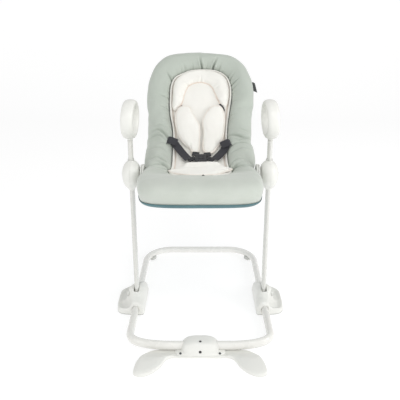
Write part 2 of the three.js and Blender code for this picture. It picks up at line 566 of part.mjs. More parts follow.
// recline grip under the head end: a bracket with two ears and a sprung lever
const bracket = solid(slab((a, b, c) => at(68 * a, 640 + 16 * b, -8.2 + 1.8 * c), 1, 1))
  .add(solid(slab((a, b, c) => at(63 + 4 * a, 640 + 12 * b, -17 + 10 * c), 1, 1)))
  .add(solid(slab((a, b, c) => at(-63 + 4 * a, 640 + 12 * b, -17 + 10 * c), 1, 1)));
const leverAxis = at(0, 640, -20);
add('recline_bracket', surface(bracket.subtract(solid(cylX(3.5, -90, 90, leverAxis[1], leverAxis[2], 12)))), GREY);
const lever = solid(slab((a, b, c) => at(58 * a * (1 - 0.12 * b * b), 618 + 27 * b, -20 + 4.5 * c), 4, 2))
  .subtract(solid(slab((a, b, c) => at(34 * a, 612 + 12 * b, -20 + 10 * c), 1, 1)))
  .add(solid(cylX(3.1, -70, 70, leverAxis[1], leverAxis[2], 12)));
add('recline_lever', surface(lever), GREY);

export default group;
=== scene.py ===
import math

import bmesh
import bpy
import numpy as np
from mathutils import Matrix, Vector

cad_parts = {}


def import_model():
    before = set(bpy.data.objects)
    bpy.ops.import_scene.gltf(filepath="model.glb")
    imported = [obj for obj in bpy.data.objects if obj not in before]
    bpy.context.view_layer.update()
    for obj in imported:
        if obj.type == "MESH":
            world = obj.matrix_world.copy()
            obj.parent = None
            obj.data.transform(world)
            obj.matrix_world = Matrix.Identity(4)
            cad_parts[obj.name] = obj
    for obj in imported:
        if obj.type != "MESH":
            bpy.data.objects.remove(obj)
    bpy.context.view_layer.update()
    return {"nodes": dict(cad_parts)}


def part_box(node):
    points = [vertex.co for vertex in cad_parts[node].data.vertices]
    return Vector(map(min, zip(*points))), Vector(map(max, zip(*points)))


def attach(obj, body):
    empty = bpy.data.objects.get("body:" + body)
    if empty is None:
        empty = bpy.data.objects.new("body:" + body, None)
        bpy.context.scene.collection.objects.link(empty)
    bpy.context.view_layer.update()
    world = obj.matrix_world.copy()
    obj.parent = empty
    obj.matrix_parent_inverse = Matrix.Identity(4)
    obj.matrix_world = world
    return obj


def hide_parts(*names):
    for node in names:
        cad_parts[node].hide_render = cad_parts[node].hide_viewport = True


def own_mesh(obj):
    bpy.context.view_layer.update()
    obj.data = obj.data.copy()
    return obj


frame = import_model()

OY = -34.95                      # fold pivot line, from the middle of the footprint
SCENE = bpy.context.scene

# ------------------------------------------------------------------ camera, light
cam = bpy.data.objects.new("camera", bpy.data.cameras.new("camera"))
cam.data.sensor_width = 36.0
cam.data.lens = 42.3
cam.data.shift_x = -0.0005
cam.location = (0.0, -1.41695, 0.935)
cam.rotation_euler = (math.radians(90 - 21.5), 0.0, 0.0)
SCENE.collection.objects.link(cam)
SCENE.camera = cam
SCENE.view_settings.view_transform = "Standard"
SCENE.view_settings.look = "None"
SCENE.view_settings.exposure = 0.0
SCENE.view_settings.gamma = 1.0

world_ = bpy.data.worlds.new("studio")
SCENE.world = world_
world_.use_nodes = True
world_.node_tree.nodes["Background"].inputs["Color"].default_value = (1.0, 1.0, 1.0, 1.0)
world_.node_tree.nodes["Background"].inputs["Strength"].default_value = 0.73


def softbox(name, where, at_, size, watts):
    light = bpy.data.lights.new(name, "AREA")
    light.shape = "RECTANGLE"
    light.size, light.size_y = size
    light.energy = watts
    o = bpy.data.objects.new(name, light)
    o.location = where
    o.rotation_euler = (Vector(where) - Vector(at_)).to_track_quat("Z", "Y").to_euler()
    SCENE.collection.objects.link(o)
    return o


softbox("high", (0.3, -1.9, 2.3), (0.0, 0.0, 0.4), (2.0, 1.6), 14.0)
softbox("side", (2.6, -1.0, 1.5), (0.0, 0.0, 0.4), (1.6, 1.6), 27.0)
softbox("fill", (-2.2, -2.0, 1.2), (0.0, 0.0, 0.4), (1.6, 1.6), 10.0)
softbox("low", (0.6, -2.5, 0.35), (0.0, 0.0, 0.45), (1.8, 0.6), 3.0)


# ---------------------------------------------------------------------- materials
def srgb(*c):
    out = []
    for v in c:
        v /= 255.0
        out.append(v / 12.92 if v <= 0.04045 else ((v + 0.055) / 1.055) ** 2.4)
    return (*out, 1.0)


class Paint:
    """A Principled material with a few short ways to add nodes."""

    def __init__(self, name, **sockets):
        self.m = bpy.data.materials.new(name)
        self.m.use_nodes = True
        self.t = self.m.node_tree
        self.t.nodes.clear()
        self.out = self.t.nodes.new("ShaderNodeOutputMaterial")
        self.s = self.t.nodes.new("ShaderNodeBsdfPrincipled")
        self.t.links.new(self.s.outputs["BSDF"], self.out.inputs["Surface"])
        for k, v in sockets.items():
            self.s.inputs[k.replace("_", " ")].default_value = v
        self.place = self.t.nodes.new("ShaderNodeTexCoord").outputs["Object"]

    def link(self, a, b):
        self.t.links.new(a, b)

    def math(self, op, a, b=None, c=None, clamp=False):
        n = self.t.nodes.new("ShaderNodeMath")
        n.operation = op
        n.use_clamp = clamp
        for i, v in enumerate((a, b, c)):
            if v is None:
                continue
            if isinstance(v, (int, float)):
                n.inputs[i].default_value = v
            else:
                self.link(v, n.inputs[i])
        return n.outputs[0]

    def scaled(self, x, y, z):
        n = self.t.nodes.new("ShaderNodeVectorMath")
        n.operation = "MULTIPLY"
        self.link(self.place, n.inputs[0])
        n.inputs[1].default_value = (x, y, z)
        return n.outputs[0]

    def noise(self, scale, detail=3.0, rough=0.55, vector=None, distortion=0.0):
        n = self.t.nodes.new("ShaderNodeTexNoise")
        n.inputs["Scale"].default_value = scale
        n.inputs["Detail"].default_value = detail
        n.inputs["Roughness"].default_value = rough
        n.inputs["Distortion"].default_value = distortion
        self.link(vector or self.place, n.inputs["Vector"])
        return n.outputs[0]

    def ramp(self, value, lo, hi, a=0.0, b=1.0):
        n = self.t.nodes.new("ShaderNodeMapRange")
        n.inputs["From Min"].default_value = lo
        n.inputs["From Max"].default_value = hi
        n.inputs["To Min"].default_value = a
        n.inputs["To Max"].default_value = b
        self.link(value, n.inputs["Value"])
        return n.outputs["Result"]

    def mix(self, factor, a, b):
        n = self.t.nodes.new("ShaderNodeMix")
        n.data_type = "RGBA"
        self.link(factor, n.inputs["Factor"])
        for sock, v in (("A", a), ("B", b)):
            i = [s for s in n.inputs if s.name == sock and s.type == "RGBA"][0]
            if isinstance(v, tuple):
                i.default_value = v
            else:
                self.link(v, i)
        return [o for o in n.outputs if o.type == "RGBA"][0]

    def attribute(self, name):
        n = self.t.nodes.new("ShaderNodeAttribute")
        n.attribute_name = name
        n.attribute_type = "GEOMETRY"
        return n.outputs["Fac"]

    def threads(self, period):
        """A fine over-and-under weave in all three directions, period in metres."""
        k = 2 * math.pi / period
        n = self.t.nodes.new("ShaderNodeSeparateXYZ")
        self.link(self.scaled(k, k, k), n.inputs[0])
        s = [self.math("SINE", n.outputs[i]) for i in range(3)]
        p = self.math("MULTIPLY", s[0], s[1])
        p = self.math("MULTIPLY_ADD", s[1], s[2], p)
        p = self.math("MULTIPLY_ADD", s[2], s[0], p)
        return self.ramp(p, -1.6, 1.6)

    def bump(self, height, strength, distance, under=None):
        n = self.t.nodes.new("ShaderNodeBump")
        n.inputs["Strength"].default_value = strength
        n.inputs["Distance"].default_value = distance
        self.link(height, n.inputs["Height"])
        if under is not None:
            self.link(under, n.inputs["Normal"])
        return n.outputs["Normal"]

    def done(self, color=None, rough=None, normal=None):
        if color is not None:
            self.link(color, self.s.inputs["Base Color"])
        if rough is not None:
            self.link(rough, self.s.inputs["Roughness"])
        if normal is not None:
            self.link(normal, self.s.inputs["Normal"])
        return self.m


def cloth_paint(name, base, deep, weave, roughness, sheen, wrinkle=0.25, seam_and_shade_tint=None, specular=0.35, sheen_rough=0.45, head_end_shade=None, head_end_shade_at=(-0.20, 0.20)):
    """Woven cloth: threads, a slow change of colour, fine creases, and painted shade: a darker tone laid along seams
    and into creases.
    """
    p = Paint(name, Sheen_Weight=sheen, Sheen_Roughness=sheen_rough)
    p.s.inputs["Specular IOR Level"].default_value = specular
    p.s.inputs["Sheen Tint"].default_value = (1.0, 1.0, 1.0, 1.0)
    cloud = p.ramp(p.noise(14.0, 4.0), 0.32, 0.68)
    color = p.mix(cloud, base, deep)
    if head_end_shade is not None:           # painted shade: the cloth gets a darker colour towards the head end
        part = p.t.nodes.new("ShaderNodeSeparateXYZ")
        p.link(p.place, part.inputs[0])
        color = p.mix(p.ramp(part.outputs[1], head_end_shade_at[0], head_end_shade_at[1], 0.0, 0.62), color, head_end_shade)
    fibre = p.ramp(p.noise(900.0, 2.0), 0.3, 0.7, 0.0, 0.22)
    color = p.mix(fibre, color, deep)
    # painted shade: a darker colour mixed in along seams and in creases, as a mesh attribute gives it
    if seam_and_shade_tint is not None:
        color = p.mix(p.attribute("seam_and_shade"), color, seam_and_shade_tint)
    crease = p.noise(55.0, 3.0, 0.6, distortion=0.6)
    n = p.bump(crease, wrinkle, 0.0016)
    n = p.bump(p.threads(weave), 0.35, 0.00016, n)
    rough = p.ramp(p.noise(120.0, 3.0), 0.3, 0.7, roughness - 0.05, roughness + 0.06)
    return p.done(color, rough, n)


def shell_paint(name, base, worn, roughness, grain, coat=0.0, bump=0.05, metallic=0.0, dirt=0.12):
    """Moulded or painted hard surface: faint texture, changing gloss, softer tone on edges."""
    p = Paint(name, Metallic=metallic, Coat_Weight=coat, Coat_Roughness=0.12)
    p.s.inputs["Specular IOR Level"].default_value = 0.45
    cloud = p.ramp(p.noise(9.0, 4.0), 0.3, 0.7, 0.0, 0.6)
    edge = p.t.nodes.new("ShaderNodeNewGeometry").outputs["Pointiness"]
    wear = p.ramp(edge, 0.50, 0.62, 0.0, 0.5)
    color = p.mix(cloud, base, tuple(0.975 * v for v in base[:3]) + (1.0,))
    color = p.mix(wear, color, worn)
    speck = p.ramp(p.noise(340.0, 2.0), 0.62, 0.78, 0.0, dirt)
    color = p.mix(speck, color, worn)
    n = p.bump(p.noise(grain, 3.0), bump, 0.0004)
    n = p.bump(p.noise(26.0, 2.0), 0.03, 0.002, n)
    rough = p.ramp(p.noise(38.0, 4.0), 0.3, 0.7, roughness - 0.05, roughness + 0.07)
    return p.done(color, rough, n)


def webbing_paint(name, base, high):
    """Ribbed webbing: ribs run along the strap, fine cross threads over them."""
    p = Paint(name, Sheen_Weight=0.25, Sheen_Roughness=0.4)
    p.s.inputs["Specular IOR Level"].default_value = 0.3
    uv = p.t.nodes.new("ShaderNodeUVMap")
    uv.uv_map = "strap"
    n = p.t.nodes.new("ShaderNodeSeparateXYZ")
    p.link(uv.outputs[0], n.inputs[0])
    rib = p.math("SINE", p.math("MULTIPLY", n.outputs[1], 2 * math.pi / 0.0028))
    thread = p.math("SINE", p.math("MULTIPLY", n.outputs[0], 2 * math.pi / 0.0011))
    both = p.ramp(p.math("MULTIPLY_ADD", thread, 0.4, rib), -1.4, 1.4)
    color = p.mix(both, base, high)
    color = p.mix(p.ramp(p.noise(600.0, 2.0), 0.4, 0.75, 0.0, 0.4), color, high)
    return p.done(color, p.ramp(p.noise(90.0, 2.0), 0.3, 0.7, 0.55, 0.75), p.bump(both, 0.6, 0.0004))


def plain_paint(name, base, other, roughness, metallic=0.0, grain=180.0, bump=0.12):
    p = Paint(name, Metallic=metallic)
    color = p.mix(p.ramp(p.noise(grain * 0.2, 4.0), 0.3, 0.7), base, other)
    rough = p.ramp(p.noise(grain * 0.5, 3.0), 0.3, 0.7, roughness - 0.06, roughness + 0.08)
    return p.done(color, rough, p.bump(p.noise(grain * 4, 2.0), bump, 0.0003))


# painted shade: the sage and cream cloths carry a darker colour for the head end, and every cloth a darker colour for
# seams and creases
SAGE = cloth_paint("sage_cloth", srgb(195, 200, 192), srgb(188, 194, 185), 0.0010, 0.58, 0.35,
                   wrinkle=0.16, seam_and_shade_tint=srgb(104, 116, 102), specular=0.45, head_end_shade=srgb(168, 177, 167))
TEAL = cloth_paint("teal_cloth", srgb(86, 124, 130), srgb(74, 110, 116), 0.0012, 0.7, 0.2, wrinkle=0.2,
                   seam_and_shade_tint=srgb(50, 84, 94))
CREAM = cloth_paint("cream_knit", srgb(242, 241, 236), srgb(238, 236, 230), 0.0013, 0.86, 0.3, wrinkle=0.3,
                    seam_and_shade_tint=srgb(221, 205, 192), specular=0.15, head_end_shade=srgb(227, 226, 220), head_end_shade_at=(0.15, 0.29))
TAG = cloth_paint("tag_cloth", srgb(66, 69, 68), srgb(52, 55, 54), 0.0008, 0.7, 0.15, wrinkle=0.1)
WEB = webbing_paint("black_webbing", srgb(38, 38, 42), srgb(66, 66, 71))
WHITE = shell_paint("white_shell", srgb(228, 228, 223), srgb(214, 214, 209), 0.34, 260.0, coat=0.15)
ENAMEL = shell_paint("white_enamel", srgb(228, 227, 222), srgb(212, 211, 206), 0.24, 420.0, coat=0.5, bump=0.03)
# painted shade and light: the posts get a darker copy of the white enamel to stand in for the shade on their sides, and
# the rear tube a lighter copy to stand in for more light
SHADED_POST_ENAMEL = shell_paint("post_enamel_painted_shade", srgb(216, 216, 211), srgb(202, 202, 197), 0.24, 420.0, coat=0.5, bump=0.03)
LIT_REAR_ENAMEL = shell_paint("rear_enamel_painted_light", srgb(236, 235, 231), srgb(220, 219, 214), 0.24, 420.0, coat=0.5, bump=0.03)
GREY = shell_paint("pale_grey_shell", srgb(222, 223, 218), srgb(204, 205, 200), 0.46, 500.0, bump=0.14)
RUBBER = plain_paint("grey_rubber", srgb(205, 206, 202), srgb(190, 191, 187), 0.8, grain=260.0, bump=0.3)
STEEL = plain_paint("zinc_steel", (0.60, 0.60, 0.61, 1), (0.50, 0.50, 0.52, 1), 0.36, 1.0, 200.0, 0.08)
SCREW = plain_paint("dark_screw", (0.16, 0.16, 0.165, 1), (0.10, 0.10, 0.105, 1), 0.42, 0.85, 240.0, 0.1)
BLACK = shell_paint("black_shell", srgb(40, 40, 44), srgb(84, 84, 90), 0.30, 420.0, coat=0.2, bump=0.06, dirt=0.05)
THREAD_SAGE = plain_paint("sage_thread", srgb(176, 190, 178), srgb(163, 178, 166), 0.7, grain=900.0)
THREAD_CREAM = plain_paint("cream_thread", srgb(238, 232, 222), srgb(226, 217, 205), 0.75, grain=900.0)
THREAD_TEAL = plain_paint("teal_thread", srgb(104, 150, 160), srgb(88, 134, 144), 0.7, grain=900.0)
THREAD_DARK = plain_paint("dark_thread", srgb(86, 86, 92), srgb(70, 70, 76), 0.7, grain=900.0)

# -------------------------------------------------------------------------- floor
floor_paint = Paint("pale_floor", Roughness=0.9)
floor_paint.s.inputs["Specular IOR Level"].default_value = 0.0
floor_paint.s.inputs["Base Color"].default_value = (0.52, 0.52, 0.52, 1.0)
floor_paint.s.inputs["Emission Color"].default_value = (1.0, 1.0, 1.0, 1.0)
floor_paint.s.inputs["Emission Strength"].default_value = 0.57
level_part = [(-9.0, -0.0004), (3.0, -0.0004)]
wall_part = [(3.0 + 1.6 * math.sin(a), 1.6 - 1.6 * math.cos(a) - 0.0004) for a in np.linspace(0.0, math.pi / 2, 18)] + [(4.6, 5.0)]
for name, line in (("floor", level_part), ("backdrop", wall_part)):
    floor_mesh = bpy.data.meshes.new(name)
    floor_mesh.from_pydata([(x, y, z) for y, z in line for x in (-9.0, 9.0)], [],
                           [(2 * i, 2 * i + 1, 2 * i + 3, 2 * i + 2) for i in range(len(line) - 1)])
    floor_mesh.polygons.foreach_set("use_smooth", [True] * len(floor_mesh.polygons))
    floor = bpy.data.objects.new(name, floor_mesh)
    floor_mesh.materials.append(floor_paint.m)
    SCENE.collection.objects.link(floor)
    if name == "backdrop":
        floor.visible_diffuse = False
        floor.visible_glossy = False


# -------------------------------------------------------------------- mesh helpers
def world(points):
    p = np.array(points, float)
    p[..., 1] += OY
    return p * 0.001


SEAT_Z, SEAT_FRONT, SEAT_RISE, SEAT_R = 450.0, 180.0, 10.0, 236.0
SEAT_ANGLE = math.radians(46)
KNEE = SEAT_FRONT + SEAT_R * SEAT_ANGLE


def profile(s):
    """Seat line in the middle plane: y, z and the unit tangent, for the distance s from the front end."""
    s = np.asarray(s, float)
    u = (SEAT_FRONT - s) / SEAT_FRONT
    a = np.clip((s - SEAT_FRONT) / SEAT_R, 0, SEAT_ANGLE)
    d = np.maximum(s - KNEE, 0)
    c, k = math.cos(SEAT_ANGLE), math.sin(SEAT_ANGLE)
    flat = s < SEAT_FRONT
    y = np.where(flat, s - SEAT_FRONT, SEAT_R * np.sin(a) + d * c)
    z = np.where(flat, SEAT_Z + SEAT_RISE * u * u, SEAT_Z + SEAT_R * (1 - np.cos(a)) + d * k)
    slope = -2 * SEAT_RISE * u / SEAT_FRONT
    h = np.hypot(1, slope)
    ty = np.where(flat, 1 / h, np.cos(a))
    tz = np.where(flat, slope / h, np.sin(a))
    return y, z, ty, tz


def seat(x, s, n):
    """Seat coordinates to the frame: x across, s along the seat from its front end, n up from its surface."""
    x, s, n = np.broadcast_arrays(np.asarray(x, float), np.asarray(s, float), np.asarray(n, float))
    y, z, ty, tz = profile(s)
    return world(np.stack([x, y - n * tz, z + n * ty], -1))


def unseat(points):
    """The frame back to seat coordinates."""
    p = np.array(points, float) * 1000.0
    x, y, z = p[:, 0], p[:, 1] - OY, p[:, 2]
    cz = SEAT_Z + SEAT_R
    a = np.arctan2(y, cz - z)
    s = SEAT_FRONT + SEAT_R * a
    n = SEAT_R - np.hypot(y, cz - z)
    c, k = math.cos(SEAT_ANGLE), math.sin(SEAT_ANGLE)
    by, bz = SEAT_R * k, SEAT_Z + SEAT_R * (1 - c)
    d, m = (y - by) * c + (z - bz) * k, -(y - by) * k + (z - bz) * c
    back = (d > 0) & (y > 0)
    s, n = np.where(back, KNEE + d, s), np.where(back, m, n)
    front = y < 0
    sf = SEAT_FRONT + y
    for _ in range(4):
        fy, fz, ty, tz = profile(sf)
        nf = (z - fz) * ty - (y - fy) * tz
        sf = sf + (y - fy) * ty + (z - fz) * tz
    s, n = np.where(front, sf, s), np.where(front, nf, n)
    return x, s, n


def spline(points, count, closed=False):
    """count points, evenly spaced, on a smooth curve through the given ones."""
    p = np.array(points, float)
    q = np.vstack([p[-1], p, p[0], p[1]]) if closed else np.vstack([2 * p[0] - p[1], p, 2 * p[-1] - p[-2]])
    out = []
    for i in range(len(q) - 3):
        p0, p1, p2, p3 = q[i:i + 4]
        k = [0.0]
        for a, b in ((p0, p1), (p1, p2), (p2, p3)):
            k.append(k[-1] + max(float(np.linalg.norm(b - a)), 1e-6) ** 0.5)
        t = np.linspace(k[1], k[2], 28, endpoint=False)[:, None]
        a1 = (k[1] - t) / k[1] * p0 + t / k[1] * p1
        a2 = (k[2] - t) / (k[2] - k[1]) * p1 + (t - k[1]) / (k[2] - k[1]) * p2
        a3 = (k[3] - t) / (k[3] - k[2]) * p2 + (t - k[2]) / (k[3] - k[2]) * p3
        b1 = (k[2] - t) / k[2] * a1 + t / k[2] * a2
        b2 = (k[3] - t) / (k[3] - k[1]) * a2 + (t - k[1]) / (k[3] - k[1]) * a3
        out.append((k[2] - t) / (k[2] - k[1]) * b1 + (t - k[1]) / (k[2] - k[1]) * b2)
    d = np.vstack(out + [p[:1] if closed else p[-1:]])
    length = np.concatenate([[0], np.cumsum(np.linalg.norm(np.diff(d, axis=0), axis=1))])
    at_ = np.linspace(0, length[-1], count, endpoint=not closed)
    return np.stack([np.interp(at_, length, d[:, k]) for k in range(d.shape[1])], 1)


def smoothstep(x, lo, hi):
    t = np.clip((np.asarray(x, float) - lo) / (hi - lo), 0, 1)
    return t * t * (3 - 2 * t)


def lattice(seed, size=64):
    r = np.random.default_rng(seed)
    return r.random((size, size, size))


_LATTICE = lattice(7, 32)


def value_noise(p, scale):
    """Smooth noise from -1 to 1 at points p (metres); scale is the size of its bumps in metres."""
    q = np.asarray(p, float) / scale + 100.0
    i = np.floor(q).astype(int)
    f = q - i
    f = f * f * (3 - 2 * f)
    out = 0
    for dx in (0, 1):
        for dy in (0, 1):
            for dz in (0, 1):
                w = (f[:, 0] if dx else 1 - f[:, 0]) * (f[:, 1] if dy else 1 - f[:, 1]) * (f[:, 2] if dz else 1 - f[:, 2])
                out = out + w * _LATTICE[(i[:, 0] + dx) % 32, (i[:, 1] + dy) % 32, (i[:, 2] + dz) % 32]
    return out * 2 - 1


def mesh_of(name, verts, faces):
    me = bpy.data.meshes.new(name)
    me.from_pydata(np.asarray(verts, float).tolist(), [], [tuple(int(i) for i in f) for f in faces])
    me.validate()
    me.update()
    return me


def tidy(me, weld=0.0, outward=True):
    b = bmesh.new()
    b.from_mesh(me)
    if weld > 0:
        bmesh.ops.remove_doubles(b, verts=b.verts, dist=weld)
        bmesh.ops.dissolve_degenerate(b, dist=weld * 0.5, edges=b.edges)
    loose = [v for v in b.verts if not v.link_faces]
    if loose:
        bmesh.ops.delete(b, geom=loose, context="VERTS")
    if outward:
        bmesh.ops.recalc_face_normals(b, faces=b.faces)
    b.to_mesh(me)
    b.free()
    me.update()


def piece(name, verts, faces, weld=0.0, outward=True):
    """A bare object; finish_piece gives it its paint and body, and hides the CAD parts it stands in for."""
    me = mesh_of(name, verts, faces)
    tidy(me, weld, outward)
    o = bpy.data.objects.new(name, me)
    SCENE.collection.objects.link(o)
    return o


def finish_piece(o, paint, body, *nodes, smooth=True, sharp=None):
    o.data.materials.clear()
    o.data.materials.append(paint)
    o.data.polygons.foreach_set("use_smooth", [smooth] * len(o.data.polygons))
    if sharp is not None:
        o.data.set_sharp_from_angle(angle=math.radians(sharp))
    o.data.update()
    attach(o, body)
    if nodes:
        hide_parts(*nodes)
    return o


def coords(o):
    c = np.zeros(len(o.data.vertices) * 3)
    o.data.vertices.foreach_get("co", c)
    return c.reshape(-1, 3)


def normals(o):
    c = np.zeros(len(o.data.vertices) * 3)
    o.data.vertices.foreach_get("normal", c)
    return c.reshape(-1, 3)


def set_coords(o, c):
    o.data.vertices.foreach_set("co", np.asarray(c, float).ravel())
    o.data.update()


def apply_all(o):
    dg = bpy.context.evaluated_depsgraph_get()
    dg.update()
    me = bpy.data.meshes.new_from_object(o.evaluated_get(dg))
    o.modifiers.clear()
    old = o.data
    o.data = me
    bpy.data.meshes.remove(old)
    o.data.name = o.name
    return o


def subdivide(o, levels=1):
    m = o.modifiers.new("sub", "SUBSURF")
    m.levels = m.render_levels = levels
    return apply_all(o)


def remesh(o, voxel, smooth=6, factor=0.5):
    m = o.modifiers.new("melt", "REMESH")
    m.mode = "VOXEL"
    m.voxel_size = voxel
    m.use_smooth_shade = True
    if smooth:
        k = o.modifiers.new("soften", "SMOOTH")
        k.factor, k.iterations = factor, smooth
    return apply_all(o)


def boolean(o, cutter, op="DIFFERENCE", keep=False):
    m = o.modifiers.new("cut", "BOOLEAN")
    m.operation = op
    m.solver = "EXACT"
    m.object = cutter
    apply_all(o)
    if not keep:
        drop(cutter)
    return o


def drop(o):
    me = o.data
    bpy.data.objects.remove(o)
    bpy.data.meshes.remove(me)


def joined(name, objects):
    """The meshes of several objects as one object."""
    b = bmesh.new()
    for o in objects:
        b.from_mesh(o.data)
    me = bpy.data.meshes.new(name)
    b.to_mesh(me)
    b.free()
    for o in objects:
        drop(o)
    r = bpy.data.objects.new(name, me)
    SCENE.collection.objects.link(r)
    return r


def mirrored(o, name):
    """The same piece on the other side of the middle plane."""
    me = o.data.copy()
    r = bpy.data.objects.new(name, me)
    SCENE.collection.objects.link(r)
    c = coords(o)
    c[:, 0] *= -1
    set_coords(r, c)
    me.flip_normals()
    return r


def grid_faces(nu, nv, cu=False, cv=False):
    i = np.arange(nu if cu else nu - 1)[:, None]
    j = np.arange(nv if cv else nv - 1)[None, :]
    a, b = i * nv + j, i * nv + (j + 1) % nv
    c, d = ((i + 1) % nu) * nv + (j + 1) % nv, ((i + 1) % nu) * nv + j
    return np.stack([a, b, c, d], -1).reshape(-1, 4).tolist()


def tube_of(name, rings, caps=True, closed=False):
    """A body through rings of points; its ends are closed by fans."""
    rings = np.asarray(rings, float)
    nu, nv = rings.shape[:2]
    verts = rings.reshape(-1, 3)
    faces = grid_faces(nu, nv, closed, True)
    if caps and not closed:
        verts = np.vstack([verts, rings[0].mean(0), rings[-1].mean(0)])
        a, b = nu * nv, nu * nv + 1
        faces += [(a, (j + 1) % nv, j) for j in range(nv)]
        faces += [(b, (nu - 1) * nv + j, (nu - 1) * nv + (j + 1) % nv) for j in range(nv)]
    return piece(name, verts, faces)


def attribute(o, name, values):
    a = o.data.attributes.get(name) or o.data.attributes.new(name, "FLOAT", "POINT")
    a.data.foreach_set("value", np.asarray(values, np.float32))


def inflate(o, pressure, hold=None, cap=0.008, shrink=0.0, frames=20, bending=0.4, mass=0.25, stiff=14.0, soften=2, share=None):
    """Pressure from inside swells the cloth; points in hold stay; no point moves further than cap."""
    base = coords(o)
    m = o.modifiers.new("cloth", "CLOTH")
    st = m.settings
    st.quality = 5
    st.mass = mass
    st.tension_stiffness = st.compression_stiffness = stiff
    st.shear_stiffness = stiff * 0.4
    st.bending_stiffness = bending
    st.air_damping = 2.0
    st.use_pressure = True
    st.uniform_pressure_force = pressure
    st.shrink_min = st.shrink_max = shrink
    st.effector_weights.gravity = 0.0
    m.collision_settings.use_collision = False
    m.collision_settings.use_self_collision = False
    if hold is not None:
        vg = o.vertex_groups.new(name="hold")
        for w in np.unique(np.round(hold, 2)):
            if w > 0:
                vg.add(np.nonzero(np.round(hold, 2) == w)[0].tolist(), float(w), "REPLACE")
        st.vertex_group_mass = "hold"
    m.point_cache.frame_start, m.point_cache.frame_end = 1, frames
    for f in range(1, frames + 1):
        SCENE.frame_set(f)
    dg = bpy.context.evaluated_depsgraph_get()
    e = o.evaluated_get(dg)
    c = np.zeros(len(base) * 3)
    e.data.vertices.foreach_get("co", c)
    c = c.reshape(-1, 3)
    o.modifiers.clear()
    o.vertex_groups.clear()
    d = np.nan_to_num(c - base)
    length = np.linalg.norm(d, axis=1)
    d *= (cap * np.tanh(length / cap) / np.maximum(length, 1e-9))[:, None]
    if share is not None:
        d *= share[:, None]
    e2 = np.zeros(len(o.data.edges) * 2, int)
    o.data.edges.foreach_get("vertices", e2)
    e2 = e2.reshape(-1, 2)
    degree = np.bincount(e2.ravel(), minlength=len(d)).clip(1)[:, None]
    for _ in range(soften):
        total = np.zeros_like(d)
        np.add.at(total, e2[:, 0], d[e2[:, 1]])
        np.add.at(total, e2[:, 1], d[e2[:, 0]])
        d = 0.5 * d + 0.5 * total / degree
    if hold is not None:
        d *= (1 - 0.7 * hold)[:, None]
    set_coords(o, base + d)
    SCENE.frame_set(1)
    return o


def to_path(x, s, path):
    """Distance from points (x, s) to a line of points, and how far along it the nearest point is, 0 to 1."""
    path = np.asarray(path, float)
    q = np.stack([x, s], 1)
    best, along = np.full(len(x), 1e9), np.zeros(len(x))
    lengths = np.linalg.norm(np.diff(path, axis=0), axis=1)
    total, done = lengths.sum(), 0.0
    for a, b, l in zip(path[:-1], path[1:], lengths):
        d = (b - a) / l
        t = np.clip((q - a) @ d, 0, l)
        r = np.linalg.norm(q - a - t[:, None] * d, axis=1)
        near = r < best
        best, along = np.where(near, r, best), np.where(near, (done + t) / total, along)
        done += l
    return best, along


def fold_depth(x, s, path, depth, width, shape="fade", lip=0.45):
    """Depth of one crease at (x, s): a narrow valley with a soft lip on both sides."""
    d, t = to_path(x, s, path)
    if shape == "fade":        # deepest at the far end of the path
        k = smoothstep(t, 0, 0.75)
    elif shape == "start":
        k = 1 - smoothstep(t, 0.25, 1)
    else:                      # middle
        k = np.sin(np.pi * np.clip(t, 0, 1)) ** 0.6
    return depth * k * (np.exp(-(d / width) ** 2) - lip * np.exp(-((d - 2.1 * width) / (1.1 * width)) ** 2))


def stitches(name, path, up, paint, body, length=3.4, gap=1.5, wide=0.55, lift=0.1, weld_to=None):
    """Sewn thread: short rounded stitches along a line of points in the frame (metres)."""
    path, up = np.asarray(path, float), np.asarray(up, float)
    step = np.linalg.norm(np.diff(path, axis=0), axis=1)
    at_ = np.concatenate([[0], np.cumsum(step)])
    total = at_[-1]
    pitch = (length + gap) * 0.001
    count = int(total / pitch)
    verts, faces = [], []
    for i in range(count):
        t = (i + 0.5) * pitch
        mid = np.array([np.interp(t, at_, path[:, k]) for k in range(3)])
        n = np.array([np.interp(t, at_, up[:, k]) for k in range(3)])
        a = np.array([np.interp(t - 0.0006, at_, path[:, k]) for k in range(3)])
        b = np.array([np.interp(t + 0.0006, at_, path[:, k]) for k in range(3)])
        d = b - a
        if np.linalg.norm(d) < 1e-9:
            continue
        d /= np.linalg.norm(d)
        n /= max(np.linalg.norm(n), 1e-9)
        side = np.cross(d, n)
        side /= max(np.linalg.norm(side), 1e-9)
        first = len(verts)
        rows = ((-0.5, 0.25, 0.0), (-0.34, 0.9, 0.75), (0.0, 1.0, 1.0), (0.34, 0.9, 0.75), (0.5, 0.25, 0.0))
        for along, w, h in rows:
            for k in range(6):
                ang = 2 * math.pi * k / 6
                verts.append(mid + d * along * length * 0.001 + side * math.cos(ang) * wide * w * 0.0005
                             + n * (lift * 0.001 + (math.sin(ang) * 0.5 * w + h * 0.25) * wide * 0.0006))
        for r in range(4):
            for k in range(6):
                faces.append((first + r * 6 + k, first + r * 6 + (k + 1) % 6,
                              first + (r + 1) * 6 + (k + 1) % 6, first + (r + 1) * 6 + k))
        faces.append(tuple(first + k for k in range(5, -1, -1)))
        faces.append(tuple(first + 24 + k for k in range(6)))
    o = piece(name, verts, faces)
    return finish_piece(o, paint, body)


